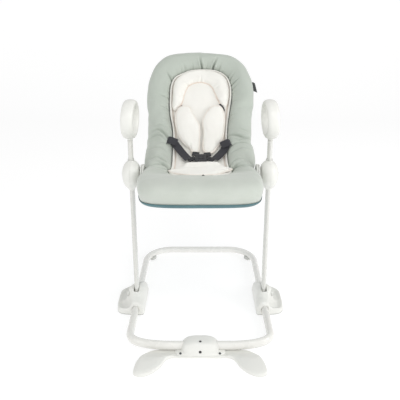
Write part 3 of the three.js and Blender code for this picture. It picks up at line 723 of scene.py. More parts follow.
def ride_surface(target, points, lift=0.0004, reach=0.03, direction=None):
    """Points dropped onto the target's surface along a direction, with the surface normals there."""
    from mathutils.bvhtree import BVHTree
    me = target.data
    tree = BVHTree.FromPolygons([v.co.copy() for v in me.vertices], [tuple(p.vertices) for p in me.polygons])
    out, up = [], []
    for i, p in enumerate(points):
        p = Vector(p)
        hit = None
        if direction is not None:
            d = Vector(direction[i]) if hasattr(direction[0], "__len__") else Vector(direction)
            d.normalize()
            hit = tree.ray_cast(p - d * reach, d, reach * 2)
            if hit[0] is None:
                hit = None
        if hit is None:
            hit = tree.find_nearest(p)
        co, n = hit[0], hit[1]
        if direction is not None:
            d = Vector(direction[i]) if hasattr(direction[0], "__len__") else Vector(direction)
            if n.dot(d) > 0:
                n = -n
        out.append(np.array(co + n * lift))
        up.append(np.array(n))
    return np.array(out), np.array(up)


def down_at(x, s):
    """Direction into the seat surface, in the frame."""
    y, z, ty, tz = profile(s)
    return np.stack([np.zeros_like(y), tz, -ty], -1)


# ------------------------------------------------------------------ the padded rim
# Stations run from the middle of the front edge round the right side to the head.
# Columns: inner edge x, s; outer edge x, s; share of the front's section; crown height.
RIM_RIGHT = [
    (0, 161, 0, -25, 1, 1), (30, 161.5, 60, -26, 1, 1), (56, 166, 111, -22, 1, 1), (74, 174, 147, -10, 1, 1),
    (86, 183, 171, 15, 1, 1), (93, 191, 181.5, 55, 1, 1), (96.5, 197, 186, 98, 1, 0.99), (98, 202, 186, 138, 0.8, 0.95),
    (98, 209, 180, 168, 0.58, 0.93), (97, 216, 175, 194, 0.3, 0.88), (94, 226, 174, 217, 0.12, 0.89),
    (91, 246, 176, 246, 0, 0.95), (88, 286, 181.5, 288, 0, 1), (87, 330, 180.5, 330, 0, 1),
    (89, 376, 175, 374, 0, 1), (91, 422, 176, 420, 0, 1), (97, 469, 178.5, 469, 0, 1), (104, 515, 185, 524, 0, 1),
    (109, 558, 186.5, 580, 0, 1), (107, 598, 178, 630, 0, 1), (94, 634, 158, 679, 0, 1),
    (64, 657, 120, 717, 0, 1), (33, 664, 60, 729, 0, 1), (0, 665, 0, 734, 0, 1)]
RIM_LEFT = [
    (0, 161, 0, -25, 1, 1), (-30, 161, -60, -26, 1, 1), (-54, 163, -111, -22, 1, 1), (-72, 168, -147, -10, 1, 1),
    (-84, 175, -170, 14, 1, 1), (-92, 183, -181, 55, 1, 1), (-96, 191, -186, 98, 1, 0.99), (-97.5, 199, -185.5, 134, 0.85, 0.98),
    (-97, 206, -180, 166, 0.65, 0.95), (-96, 213, -175.5, 195, 0.35, 0.91), (-93, 224, -175, 220, 0.15, 0.91),
    (-91, 245, -178, 246, 0, 0.95), (-90, 286, -182.5, 288, 0, 1), (-90, 330, -182, 330, 0, 1),
    (-90, 372, -180.5, 370, 0, 1), (-93, 424, -180.8, 424, 0, 1), (-101, 469, -182, 470, 0, 1), (-105, 514, -184.5, 516, 0, 1),
    (-105, 556, -185, 572, 0, 1), (-103, 594, -178.5, 624, 0, 1), (-91, 629, -160, 677, 0, 1),
    (-56, 652, -122, 720, 0, 1), (-29, 662, -60, 732, 0, 1), (0, 665, 0, 734, 0, 1)]
SIDE = [(0.0, 21), (0.035, 33), (0.13, 44.5), (0.31, 52.5), (0.52, 55), (0.72, 51), (0.88, 42), (0.97, 30), (1.0, 16), (0.975, 2),
        (0.89, -11), (0.74, -19), (0.56, -20), (0.36, -15), (0.16, -8), (0.04, 0), (-0.01, 10)]
FRONT = [(0.0, 22), (0.04, 30), (0.16, 38.5), (0.36, 47), (0.56, 52.5), (0.75, 54), (0.90, 47), (0.975, 34), (1.0, 18), (0.985, 3),
         (0.945, -12), (0.86, -21.5), (0.73, -23), (0.5, -17), (0.26, -10), (0.05, 0), (-0.01, 10)]
PER = 4
HALF = 170
NU, NV = 2 * HALF, 17 * PER


def catmull_rows(count, per):
    rows = np.zeros((count * per, count))
    for k in range(count):
        for j in range(per):
            t = j / per
            w = (-0.5 * t + t * t - 0.5 * t ** 3, 1 - 2.5 * t * t + 1.5 * t ** 3,
                 0.5 * t + 2 * t * t - 1.5 * t ** 3, -0.5 * t * t + 0.5 * t ** 3)
            for m, v in enumerate(w):
                rows[k * per + j, (k + m - 1) % count] += v
    return rows


def rim_stations(table):
    p = np.array(table, float)
    weigh = p * np.array([1, 1, 1, 1, 0, 0]) + p * np.array([0, 0, 0, 0, 1, 1])
    return spline(weigh, HALF + 1)


right_st, left_st = rim_stations(RIM_RIGHT), rim_stations(RIM_LEFT)
RIM = np.vstack([right_st[:-1], left_st[:0:-1]])          # station 0 front middle, HALF head middle
mid_line = (RIM[:, :2] + RIM[:, 2:4]) / 2
ROWS = catmull_rows(17, PER)


def rim_points(shrink=0.0):
    """Section points of the rim, (stations, round the section, x s n)."""
    w = np.clip(RIM[:, 4], 0, 1)[:, None]
    sec_a = (1 - w) * np.array(SIDE)[None, :, 0] + w * np.array(FRONT)[None, :, 0]
    sec_n = (1 - w) * np.array(SIDE)[None, :, 1] + w * np.array(FRONT)[None, :, 1]
    a, n = sec_a @ ROWS.T, sec_n @ ROWS.T
    crown = RIM[:, 5][:, None]
    n = np.where(n > 16, 16 + (n - 16) * crown, n)
    if shrink:
        width = np.linalg.norm(RIM[:, 2:4] - RIM[:, :2], axis=1)[:, None]
        a = 0.5 + (a - 0.5) * (1 - 2 * shrink / width)
        n = np.where(n > 18, 18 + (n - 18) * (1 - shrink / 36), n)
    x = RIM[:, 0:1] + a * (RIM[:, 2:3] - RIM[:, 0:1])
    s = RIM[:, 1:2] + a * (RIM[:, 3:4] - RIM[:, 1:2])
    return np.stack([x, s, n], -1)


SEAM_RIGHT = [(96, 218), (120, 216), (150, 209), (178, 195)]
SEAM_LEFT = [(-96, 217), (-118, 221), (-140, 218), (-162, 206), (-178, 194)]

rim_xsn = rim_points(3.0)
rim = piece("seat_rim", seat(rim_xsn[..., 0], rim_xsn[..., 1], rim_xsn[..., 2]).reshape(-1, 3),
            grid_faces(NU, NV, True, True))
v_index = np.tile(np.arange(NV), NU)
rx, rs, rn = (rim_xsn[..., k].ravel() for k in range(3))
hold = np.where((v_index <= 1) | (v_index >= 9.5 * PER), 1.0, 0.0)
hold = np.where((v_index > 1) & (v_index <= 3), 0.35, hold)
hold = np.where((v_index > 8.6 * PER) & (v_index < 9.5 * PER), 0.3, hold)
for path in (SEAM_RIGHT, SEAM_LEFT):
    d, _ = to_path(rx, rs, path)
    hold = np.where((d < 4.5) & (rn > 0), 1.0, hold)
front_share = np.repeat(np.clip(RIM[:, 4], 0, 1), NV)
inflate(rim, 5.5, hold, cap=0.009, shrink=-0.035, bending=0.25, soften=5, share=1 - 0.62 * front_share)
subdivide(rim, 1)

# creases, pleats and gathers; each line ends at the deep end
CREASES = [
    ([(-4, 712), (-2, 700), (1, 686), (6, 670), (10.6, 655)], 6.5, 3.0, "fade"),
    ([(64, 706), (59, 694), (53, 681), (45.5, 666), (42.8, 650)], 7.0, 3.0, "fade"),
    ([(-122, 648), (-113, 634), (-104, 620), (-95, 606)], 5.5, 2.8, "fade"),
    ([(126, 642), (120.5, 636), (108, 621), (98, 609)], 3.6, 2.8, "fade"),
    ([(146, 618), (135.5, 612), (121, 602), (105, 592)], 4.8, 2.8, "fade"),
    ([(140, 594), (131, 589), (119, 581), (110, 574)], 3.2, 2.6, "fade"),
    ([(116, 652), (110, 644), (99, 631), (89, 617)], 2.2, 2.6, "fade"),
    ([(28, 690), (25, 676), (24, 664)], 1.8, 2.6, "fade"),
    ([(-30, 690), (-27, 676), (-26, 662)], 1.6, 2.8, "fade"),
    ([(-62, 684), (-56, 668), (-52, 656)], 1.6, 3.0, "fade"),
    ([(78, 686), (71, 670), (66, 657)], 1.6, 3.0, "fade"),
    ([(-146, 548), (-136, 545), (-124, 541), (-107, 539)], 3.0, 3.4, "fade"),
    ([(-140, 497), (-131, 497), (-121, 494), (-105, 491)], 3.2, 3.2, "fade"),
    ([(-132, 484), (-122, 483), (-106, 481)], 2.0, 2.6, "fade"),
    ([(-138, 446), (-124, 448), (-97, 447)], 1.6, 3.0, "fade"),
    ([(140, 520), (128, 521), (106, 522)], 1.4, 3.4, "fade"),
    ([(134, 466), (120, 465), (98, 464)], 1.4, 3.2, "fade"),
    ([(-172, 384), (-162, 394), (-148, 401), (-134, 399), (-120, 389), (-104, 373)], 5.6, 4.6, "fade"),
    ([(-170, 372), (-156, 379), (-142, 381), (-124, 374), (-108, 360)], 3.0, 4.2, "middle"),
    ([(-140, 352), (-124, 349), (-104, 341)], 2.6, 4.0, "fade"),
    ([(-152, 412), (-134, 420), (-112, 414)], 1.8, 4.4, "middle"),
    ([(174, 382), (164, 377), (150, 372), (131, 376), (112, 383), (94, 385)], 5.2, 4.4, "middle"),
    ([(162, 352), (146, 350), (130, 348), (113, 343), (97, 331)], 3.8, 4.2, "middle"),
    ([(152, 366), (138, 364), (124, 358)], 2.4, 3.6, "middle"),
    ([(166, 400), (148, 402), (124, 408)], 1.8, 4.6, "middle"),
    ([(-166, 318), (-148, 322), (-126, 318), (-104, 306)], 1.8, 5.0, "middle"),
    ([(166, 316), (146, 320), (122, 312), (98, 298)], 1.8, 5.0, "middle"),
    ([(-168, 250), (-154, 262), (-135, 264), (-110, 243)], 3.4, 5.0, "fade"),
    ([(-160, 230), (-142, 236), (-122, 230), (-100, 214)], 3.0, 4.4, "fade"),
    ([(166, 248), (146, 256), (116, 256), (94, 240)], 3.4, 5.0, "fade"),
    ([(156, 228), (136, 232), (114, 226), (98, 217)], 2.6, 4.4, "fade"),
    ([(-150, 170), (-132, 186), (-112, 196), (-99, 201)], 2.6, 5.0, "fade"),
    ([(150, 172), (134, 190), (114, 200), (99, 207)], 2.6, 5.0, "fade"),
    ([(-120, 150), (-108, 172), (-99, 190)], 1.6, 5.0, "fade"),
    ([(122, 158), (110, 178), (100, 196)], 1.6, 5.0, "fade"),
]
c, nrm = coords(rim), normals(rim)
x_, s_, n_ = unseat(c)
top = smoothstep(n_, 8, 26)
depth = np.zeros(len(c))
# painted shade: the mask built below darkens the cloth in the creases, along the seam lines and in the crevice at the
# insert's edge
seam_and_shade = np.zeros(len(c))
for path, deep, wide, shape in CREASES:
    line = spline(path, 14)
    f = fold_depth(x_, s_, line, deep, wide, shape)
    depth += f
    seam_and_shade += 0.5 * np.clip(f / 6.0, 0, 1)
for path, deep in ((SEAM_RIGHT, 8.5), (SEAM_LEFT, 8.5)):
    line = spline(path, 24)
    d, t = to_path(x_, s_, line)
    k = 1.15 - 0.85 * t
    depth += deep * k * (np.exp(-(d / 5.0) ** 2) + 0.45 * np.exp(-(d / 14.0) ** 2)) - 2.2 * np.exp(-((d - 17) / 9.0) ** 2)
    seam_and_shade += 0.75 * k * np.exp(-(d / 2.6) ** 2)
# gathers where the rim is sewn to the insert
edge_d, edge_t = to_path(x_, s_, np.vstack([RIM[:, :2], RIM[:1, :2]]))
head = smoothstep(s_, 250, 470)
ripple = np.sin(edge_t * 2 * np.pi * 74 + 2.4 * np.sin(edge_t * 37.0)) * (0.55 + 0.45 * np.sin(edge_t * 2 * np.pi * 11 + 1.3))
depth += (0.35 + 0.75 * head) * ripple * np.exp(-(edge_d / 15.0) ** 2) * smoothstep(edge_d, 0.5, 5)
# painted shade in the crevice where the rim meets the insert
seam_and_shade += 0.06 * np.exp(-(edge_d / 2.2) ** 2) * smoothstep(35 - n_, 0, 8)
swell = value_noise(c, 0.055) * 0.9 + value_noise(c + 3.1, 0.022) * 0.35
c2 = c - nrm * (depth * top * 0.001)[:, None] + nrm * (swell * smoothstep(n_, 5, 22) * 0.001)[:, None]
# the cover stays clear of the turning hub
cx, cs_, cn = unseat(c2)
y_h, z_h = c2[:, 1] * 1000 + 9.31, c2[:, 2] * 1000 - 469.217
near = np.hypot(y_h, z_h)
limit = 174.6 + 12.4 * smoothstep(near, 33, 46)
c2[:, 0] = np.sign(c2[:, 0]) * np.minimum(np.abs(c2[:, 0]), limit * 0.001)
set_coords(rim, c2)
attribute(rim, "seam_and_shade", np.clip(seam_and_shade * top, 0, 1))
finish_piece(rim, SAGE, "seat", "seat_bolster")


# ------------------------------------------------ teal cover on the underside
def under_rows():
    base = rim_points(0.0)
    rows = []
    for v, out in ((9.75, 0.4), (10.1, 1.5), (10.7, 1.8), (11.4, 1.9), (12.2, 1.9), (13.0, 1.9), (13.8, 1.8), (14.5, 1.6)):
        i = v * PER
        lo, f = int(i) % NV, i - int(i)
        p = base[:, lo] * (1 - f) + base[:, (lo + 1) % NV] * f
        q = base[:, (lo + 1) % NV] - base[:, lo - 1]
        d = RIM[:, 2:4] - RIM[:, :2]
        d /= np.linalg.norm(d, axis=1)[:, None]
        ta = np.sum(q[:, :2] * d, axis=1)
        tn = q[:, 2]
        l = np.hypot(ta, tn)
        # outward from the section: its tangent turned by a quarter
        oa, on = -tn / l, ta / l
        sign = np.sign(oa * 0 + np.where(on > 0, -1, 1))
        p = p.copy()
        p[:, 0] += out * sign * oa * d[:, 0]
        p[:, 1] += out * sign * oa * d[:, 1]
        p[:, 2] += out * sign * on
        rows.append(p)
    inner = RIM[:, :2]
    spine_s = np.clip(inner[:, 1], 235, 585)
    for k, f in enumerate((0.03, 0.08, 0.16, 0.28, 0.42, 0.58, 0.75, 0.9)):
        sx = np.sign(inner[:, 0]) * 4.0
        x = inner[:, 0] * (1 - f) + sx * f
        s = inner[:, 1] * (1 - f) + spine_s * f
        rows.append(np.stack([x, s, np.full(len(x), -5.6 if k else -6.4)], -1))
    return np.array(rows)


rows = under_rows()
nr = len(rows)
verts = seat(rows[..., 0], rows[..., 1], rows[..., 2]).reshape(-1, 3)
faces = []
for r in range(nr - 1):
    for j in range(NU):
        k = (j + 1) % NU
        faces.append((r * NU + j, r * NU + k, (r + 1) * NU + k, (r + 1) * NU + j))
last = (nr - 1) * NU
for j in range(0, HALF):
    a, b = last + j, last + j + 1
    c_, d_ = last + (NU - j - 1) % NU, last + (NU - j) % NU
    quad = [a, b, c_, d_]
    quad = list(dict.fromkeys(quad))
    if len(quad) >= 3:
        faces.append(tuple(quad))
under = piece("seat_underside_cover", verts, faces, weld=0.00002)
subdivide(under, 1)
c, nrm = coords(under), normals(under)
ux, us, un = unseat(c)
ripple = value_noise(c, 0.06) * 0.8 + value_noise(c * np.array([1, 0.4, 0.4]) + 1.7, 0.03) * 0.5
edge = smoothstep(un, -16, -6)
drum = np.where(np.abs(ux) < 80, smoothstep(us, 560, 600), 0)
c = c + nrm * (ripple * 0.0006 * (1 - 0.8 * drum))[:, None]
set_coords(under, c)
seam_t = np.zeros(len(c))
for line in ([(-108, 250), (-60, 248), (0, 247), (60, 248), (108, 250)], [(-112, 430), (-60, 427), (0, 426), (60, 427), (112, 430)]):
    d, _ = to_path(ux, us, line)
    seam_t += np.exp(-(d / 2.2) ** 2) * (un > -10)
    c -= nrm * 0 + np.outer(0.0011 * np.exp(-(d / 2.4) ** 2) * (un > -10), [0, 0, 0])
attribute(under, "seam_and_shade", np.clip(seam_t, 0, 1))
m = under.modifiers.new("thick", "SOLIDIFY")
m.thickness, m.offset = 0.0009, 0.0
apply_all(under)
finish_piece(under, TEAL, "seat", "seat_panel")

# ------------------------------------------------------------------ newborn insert
PIPE = 3.2


def inset_outline(dist, count=NU, push=0.0):
    """The rim's inner edge moved inwards by dist, as (x, s)."""
    p = spline(np.vstack([RIM[:, :2]]), count, closed=True)
    t = np.roll(p, -1, 0) - np.roll(p, 1, 0)
    t /= np.linalg.norm(t, axis=1)[:, None]
    n = np.stack([-t[:, 1], t[:, 0]], 1)      # the outline runs anticlockwise
    return p + n * dist


outline0 = spline(RIM[:, :2], 300, closed=True)


def insert_height(x, s, d):
    """Top of the insert at (x, s), d from its edge."""
    n = 21.5 + 3.0 * smoothstep(d, 6, 26)
    n -= 2.3 * np.exp(-((d - 9.0) / 2.4) ** 2)
    n += 3.6 * np.exp(-(((x - 2) / 40) ** 2 + ((s - 560) / 42) ** 2) ** 1.4)
    n += 1.6 * np.exp(-((x / 60) ** 2 + ((s - 225) / 30) ** 2))
    return n


def pad_from_outline(name, outline, spine, top_n, bottom_n, rings=26, power=0.5, fill=None):
    """A closed pad: its outline is joined to a spine line above and below.
    top_n and bottom_n take x, s and the share from the spine (0) to the edge (1)."""
    outline = np.asarray(outline, float)
    spine = np.asarray(spine, float)
    a, b = spine[0], spine[-1]
    d = (b - a) / np.linalg.norm(b - a)
    outline = np.roll(outline, -int(np.argmin((outline - a) @ d + 0.02 * np.linalg.norm(outline - a, axis=1))), axis=0)
    t = (outline - a) @ d
    t = np.clip((t + np.roll(t[::-1], 1)) / 2, 0, np.linalg.norm(b - a))
    core = a + t[:, None] * d
    rho = np.linspace(0, 1, rings + 1)
    rho = 1 - (1 - rho) ** 1.35
    verts, layer = [], []
    for side in (1, -1):
        for k, r in enumerate(rho if side == 1 else rho[:-1]):
            q = core + (outline - core) * r
            n = top_n(q[:, 0], q[:, 1], r) if side == 1 else bottom_n(q[:, 0], q[:, 1], r)
            layer.append(len(verts))
            verts.extend(np.stack([q[:, 0], q[:, 1], np.broadcast_to(n, q[:, 0].shape)], -1))
    verts = np.array(verts)
    m_ = len(outline)
    faces = []
    for k in range(rings):
        for j in range(m_):
            i = (j + 1) % m_
            faces.append((k * m_ + j, k * m_ + i, (k + 1) * m_ + i, (k + 1) * m_ + j))
    low = (rings + 1) * m_
    for k in range(rings):
        nxt = low + (k + 1) * m_ if k < rings - 1 else rings * m_
        for j in range(m_):
            i = (j + 1) % m_
            faces.append((low + k * m_ + i, low + k * m_ + j, nxt + j, nxt + i))
    o = piece(name, seat(verts[:, 0], verts[:, 1], verts[:, 2]), faces, weld=0.0002)
    return o


insert_outline = inset_outline(-1.5, 300)


def insert_top(x, s, r):
    d, _ = to_path(x, s, np.vstack([outline0, outline0[:1]]))
    return np.minimum(insert_height(x, s, d), 8 + 14 * np.clip(1 - r, 0, 1) ** 0.35 * 1.6) if r > 0.985 else insert_height(x, s, d)


insert = pad_from_outline("seat_insert_pad", insert_outline, [(0, 250), (0, 575)],
                          insert_top, lambda x, s, r: np.full(len(x), 2.0), rings=34)
subdivide(insert, 1)
c, nrm = coords(insert), normals(insert)
ix, is_, in_ = unseat(c)
d_edge, _ = to_path(ix, is_, np.vstack([outline0, outline0[:1]]))
topi = smoothstep(in_, 14, 19)
bumps = value_noise(c, 0.030) * 0.7 + value_noise(c + 5.0, 0.012) * 0.25
c += nrm * (bumps * topi * 0.001)[:, None]
set_coords(insert, c)
# painted shade in the groove along the insert's stitch line
attribute(insert, "seam_and_shade", np.clip(0.85 * np.exp(-((d_edge - 9) / 2.0) ** 2) * topi, 0, 1))
finish_piece(insert, CREAM, "seat", "seat_insert")

# piping between the rim and the insert
pipe_path = inset_outline(PIPE - 0.6, 360)
pipe_rings = []
for i in range(360):
    a = pipe_path[i - 1]
    b = pipe_path[(i + 1) % 360]
    d = (b - a) / np.linalg.norm(b - a)
    n = np.array([-d[1], d[0]])
    ang = np.linspace(0, 2 * np.pi, 14, endpoint=False)
    wob = 1 + 0.05 * math.sin(i * 1.7) + 0.04 * math.sin(i * 0.53)
    q = pipe_path[i] + np.outer(np.cos(ang) * PIPE * wob, n)
    pipe_rings.append(seat(q[:, 0], q[:, 1], 25.4 + np.sin(ang) * PIPE * wob))
pipe = tube_of("insert_piping", pipe_rings, closed=True)
attribute(pipe, "seam_and_shade", np.zeros(len(pipe.data.vertices)))
finish_piece(pipe, CREAM, "seat")

# ----------------------------------------------------------------- head support
HEAD = [  # outer x, s; inner x, s; height of the crown
    (-84, 486, -82, 488, 30), (-92, 493, -74, 500, 35), (-96, 506, -64, 515, 38.5), (-96.5, 530, -58.5, 533, 40.5),
    (-96, 558, -53, 560, 41), (-94, 588, -42, 589, 41), (-84, 618, -29, 600, 41), (-54, 643, -17, 604.5, 41),
    (-27, 653, -8, 606.5, 41), (0, 656.5, 2, 607, 41), (31, 655, 13, 605, 41), (60, 648, 27, 600, 41),
    (86, 627, 41, 586, 41), (98, 597, 49, 566, 41), (100.5, 560, 57, 543, 41), (97, 530, 66, 520, 40),
    (92, 508, 76, 502, 37), (88, 494, 80, 490, 32), (86, 488, 82, 487, 29)]
st = spline(HEAD, 150)
sec = np.array([(0.0, 0.12), (0.03, 0.42), (0.14, 0.74), (0.32, 0.95), (0.52, 1.0), (0.72, 0.93), (0.88, 0.70), (0.97, 0.38), (1.0, 0.08),
                (0.95, -0.12), (0.7, -0.2), (0.3, -0.2), (0.05, -0.12)])
srow = catmull_rows(len(sec), 4)
sa, sn = srow @ sec[:, 0], srow @ sec[:, 1]
rings = []
for r in st:
    x = r[0] + sa * (r[2] - r[0])
    s = r[1] + sa * (r[3] - r[1])
    rings.append(seat(x, s, 24.5 + sn * (r[4] - 24.5)))
support = tube_of("head_support_pad", rings)
vi = np.tile(np.arange(len(sa)), len(st))
hold = np.where((vi >= 8 * 4 - 1) | (vi <= 1), 1.0, 0.0)
hold = np.concatenate([hold, [1, 1]])
inflate(support, 5.0, hold, cap=0.004, shrink=-0.05, bending=0.15, stiff=10)
subdivide(support, 1)
c, nrm = coords(support), normals(support)
hx, hs, hn = unseat(c)
arch = st[:, 2:4]
d_in, t_in = to_path(hx, hs, arch)
d_out, t_out = to_path(hx, hs, st[:, :2])
pucker = np.sin(t_in * 2 * np.pi * 26 + 1.2 * np.sin(t_in * 31)) * np.exp(-(d_in / 9.0) ** 2) * smoothstep(d_in, 0.5, 3)
folds = (fold_depth(hx, hs, spline([(0, 640), (3, 625), (2, 609)], 8), 2.2, 3.0)
         + fold_depth(hx, hs, spline([(-60, 600), (-50, 596), (-42, 592)], 8), 1.8, 3.0)
         + fold_depth(hx, hs, spline([(70, 590), (58, 582), (45, 577)], 8), 2.2, 3.0)
         + fold_depth(hx, hs, spline([(-82, 555), (-68, 552), (-54, 552)], 8), 1.4, 3.4))
bumps = value_noise(c, 0.028) * 0.55 + value_noise(c + 9.0, 0.011) * 0.2
c += nrm * ((bumps - 0.5 * pucker - folds) * smoothstep(hn, 25, 29) * 0.001)[:, None]
set_coords(support, c)
# painted shade along the inner arch of the head support and, fainter, along its outer edge
attribute(support, "seam_and_shade", np.clip(0.95 * np.exp(-(d_in / 2.6) ** 2) + 0.35 * np.exp(-(d_out / 2.2) ** 2), 0, 1))
finish_piece(support, CREAM, "seat", "head_support")

# ------------------------------------------------------------------ shoulder pads
PAD_R = [(5.5, 450), (14, 472), (26, 489), (36, 500.5), (46, 505.5), (68, 505.5), (78, 494), (83.6, 474.4), (86, 450), (84.6, 424.7), (78.5, 381),
         (63, 345.4), (50, 322), (43, 313), (32, 308.5), (21, 309), (9.5, 323), (5.6, 345), (4.8, 389), (4.5, 424)]
PAD_L = [(-57.3, 505.7), (-39, 504.4), (-31, 496), (-25.7, 483.6), (-9, 452), (0, 432), (2.6, 404), (2.8, 372), (1.8, 345), (-1.5, 322), (-7, 312.5),
         (-20.9, 311), (-29, 317), (-37, 328.4), (-55.5, 350.9), (-74.8, 384.8), (-85.1, 424.7), (-87.5, 452), (-86.1, 469.8), (-77, 495.1), (-69, 502.5)]


def shoulder_pad(name, pts, spine, node, seed):
    outline = spline(pts, 150, closed=True)

    def top(x, s, r):
        lift = 3.0 * smoothstep(s, 300, 345)
        return 32 + lift * 0.6 + 8.5 * np.sqrt(np.maximum(0, 1 - r ** 2.6)) * (0.75 + 0.25 * smoothstep(s, 300, 380))

    def bottom(x, s, r):
        return 32 - 6.0 * np.sqrt(np.maximum(0, 1 - r ** 2.6))

    o = pad_from_outline(name, outline, spine, top, bottom, rings=16)
    inflate(o, 6.0, None, cap=0.0045, shrink=-0.02, bending=0.15, stiff=10)
    subdivide(o, 1)
    c, nrm = coords(o), normals(o)
    px, ps, pn = unseat(c)
    d, t = to_path(px, ps, np.vstack([outline, outline[:1]]))
    pucker = np.sin(t * 2 * np.pi * 40 + seed) * (0.6 + 0.4 * np.sin(t * 2 * np.pi * 7 + seed)) * np.exp(-((d - 5) / 4.5) ** 2)
    bumps = value_noise(c + seed, 0.026) * 0.6 + value_noise(c + 2 * seed, 0.010) * 0.18
    groove = 1.1 * np.exp(-((d - 5.4) / 1.5) ** 2)
    c += nrm * ((bumps + 0.35 * pucker - groove) * smoothstep(pn, 30, 34) * 0.001)[:, None]
    set_coords(o, c)
    # painted shade along each pad's edge and in its groove
    attribute(o, "seam_and_shade", np.clip((0.55 * np.exp(-(d / 3.4) ** 2) + 0.22 * np.exp(-((d - 5.4) / 1.3) ** 2)), 0, 1))
    finish_piece(o, CREAM, "seat", node)
    return o, outline


pad_right, out_r = shoulder_pad("shoulder_pad_right", PAD_R, [(36, 345), (52, 470)], "right_shoulder_pad", 1.0)
pad_left, out_l = shoulder_pad("shoulder_pad_left", PAD_L, [(-30, 345), (-50, 470)], "left_shoulder_pad", 4.0)

# -------------------------------------------------------------------- crotch flap
FLAP = [(-49, 254), (-43, 262), (-10, 266), (20, 268), (42, 270), (58, 268.5), (67, 259), (77, 245), (90, 230), (102, 217.5), (103.5, 211),
        (90, 203), (72, 188), (52, 171), (32, 161), (5, 153.5), (-23, 154), (-51, 161), (-76, 174), (-92, 187), (-101, 197), (-101, 203),
        (-88, 216), (-74, 226), (-60, 236)]
flap_outline = spline(FLAP, 190, closed=True)


def flap_base(x, s):
    """Surface the flap lies on: the insert in the middle, the rim's slope below and beside it."""
    d, _ = to_path(x, s, np.vstack([outline0, outline0[:1]]))
    inside = ((np.abs(x) < 97) & (s > 160 + 0.0045 * np.abs(x) ** 2)).astype(float)
    slope = smoothstep(158 - s + 26 * (np.abs(x) / 90) ** 2.2, -12, 12)
    return 24.5 + 7.5 * slope + 3.0 * smoothstep(np.abs(x), 84, 104)


def flap_top(x, s, r):
    body = np.sqrt(np.maximum(0, 1 - r ** 2.4))
    roll = np.exp(-((s - 249) / 11.5) ** 2) * smoothstep(62 - np.abs(x - 8), 0, 16)
    under_buckle = smoothstep(s, 255, 262) * smoothstep(34 - np.abs(x - 2), 0, 8)
    return flap_base(x, s) + 2.4 + (6.2 * body * (1 - 0.6 * under_buckle) + 6.8 * roll * body ** 0.6) * (1 - 0.25 * under_buckle)


def flap_bottom(x, s, r):
    return flap_base(x, s) + 0.6


flap = pad_from_outline("crotch_flap_pad", flap_outline, [(-40, 208), (42, 214)], flap_top, flap_bottom, rings=20)
inflate(flap, 5.0, None, cap=0.003, shrink=-0.02, bending=0.15, stiff=10)
subdivide(flap, 1)
c, nrm = coords(flap), normals(flap)
fx, fs, fn_ = unseat(c)
d, t = to_path(fx, fs, np.vstack([flap_outline, flap_outline[:1]]))
pucker = np.sin(t * 2 * np.pi * 46) * (0.6 + 0.4 * np.sin(t * 2 * np.pi * 9)) * np.exp(-((d - 5) / 5) ** 2)
folds = (fold_depth(fx, fs, spline([(-78, 200), (-50, 192), (-20, 190)], 10), 1.6, 4.5, "start")
         + fold_depth(fx, fs, spline([(84, 214), (60, 204), (30, 200)], 10), 1.8, 4.5, "start")
         + fold_depth(fx, fs, spline([(-60, 228), (-30, 222), (10, 222)], 10), 1.0, 5.0, "middle"))
bumps = value_noise(c + 2.0, 0.026) * 0.7 + value_noise(c + 6.0, 0.011) * 0.22
c += nrm * ((bumps + 0.4 * pucker - folds - 0.8 * np.exp(-((d - 4.6) / 1.4) ** 2)) * 0.001 * smoothstep(d, 0.5, 3))[:, None]
set_coords(flap, c)
# painted shade along the flap's edge and in its groove
attribute(flap, "seam_and_shade", np.clip(0.5 * np.exp(-(d / 3.0) ** 2) + 0.2 * np.exp(-((d - 4.6) / 1.2) ** 2), 0, 1))
finish_piece(flap, CREAM, "seat", "crotch_flap")


# ------------------------------------------------------------------ harness
def ribbon(name, centre, side, width, thick, body, *nodes, paint=None):
    """Flat webbing through points of the frame (metres), with rounded selvedges and a map along and across it."""
    centre, side = np.asarray(centre, float), np.asarray(side, float)
    t = np.gradient(centre, axis=0)
    t /= np.linalg.norm(t, axis=1)[:, None]
    side = side - np.sum(side * t, 1)[:, None] * t
    side /= np.linalg.norm(side, axis=1)[:, None]
    up = np.cross(t, side)
    length = np.concatenate([[0], np.cumsum(np.linalg.norm(np.diff(centre, axis=0), axis=1))])
    w, h = width / 2, thick / 2
    a = np.concatenate([np.linspace(-w + h, w - h, 12), w + h * 0.0 - h + h * np.sin(np.linspace(0, np.pi, 5))[1:-1],
                        np.linspace(w - h, -w + h, 12), -w + h - h * np.sin(np.linspace(0, np.pi, 5))[1:-1]])
    b = np.concatenate([np.full(12, h), h * np.cos(np.linspace(0, np.pi, 5))[1:-1], np.full(12, -h),
                        -h * np.cos(np.linspace(0, np.pi, 5))[1:-1]])
    rings = centre[:, None, :] + a[None, :, None] * side[:, None, :] + b[None, :, None] * up[:, None, :]
    o = tube_of(name, rings)
    uv = o.data.uv_layers.new(name="strap")
    idx = np.zeros(len(o.data.loops), int)
    o.data.loops.foreach_get("vertex_index", idx)
    vu = np.concatenate([np.repeat(length, len(a)), [0, length[-1]]])
    vv = np.concatenate([np.tile(a, len(centre)), [0, 0]])
    uv.data.foreach_set("uv", np.stack([vu[idx], vv[idx]], 1).ravel())
    return finish_piece(o, paint or WEB, body, *nodes)


def seat_dir(x0, s0, n0, dx, ds, dn):
    e = 0.5
    a = seat(np.array(x0) - dx * e, np.array(s0) - ds * e, np.array(n0) - dn * e)
    b = seat(np.array(x0) + dx * e, np.array(s0) + ds * e, np.array(n0) + dn * e)
    v = b - a
    return v / np.linalg.norm(v, axis=-1)[..., None]


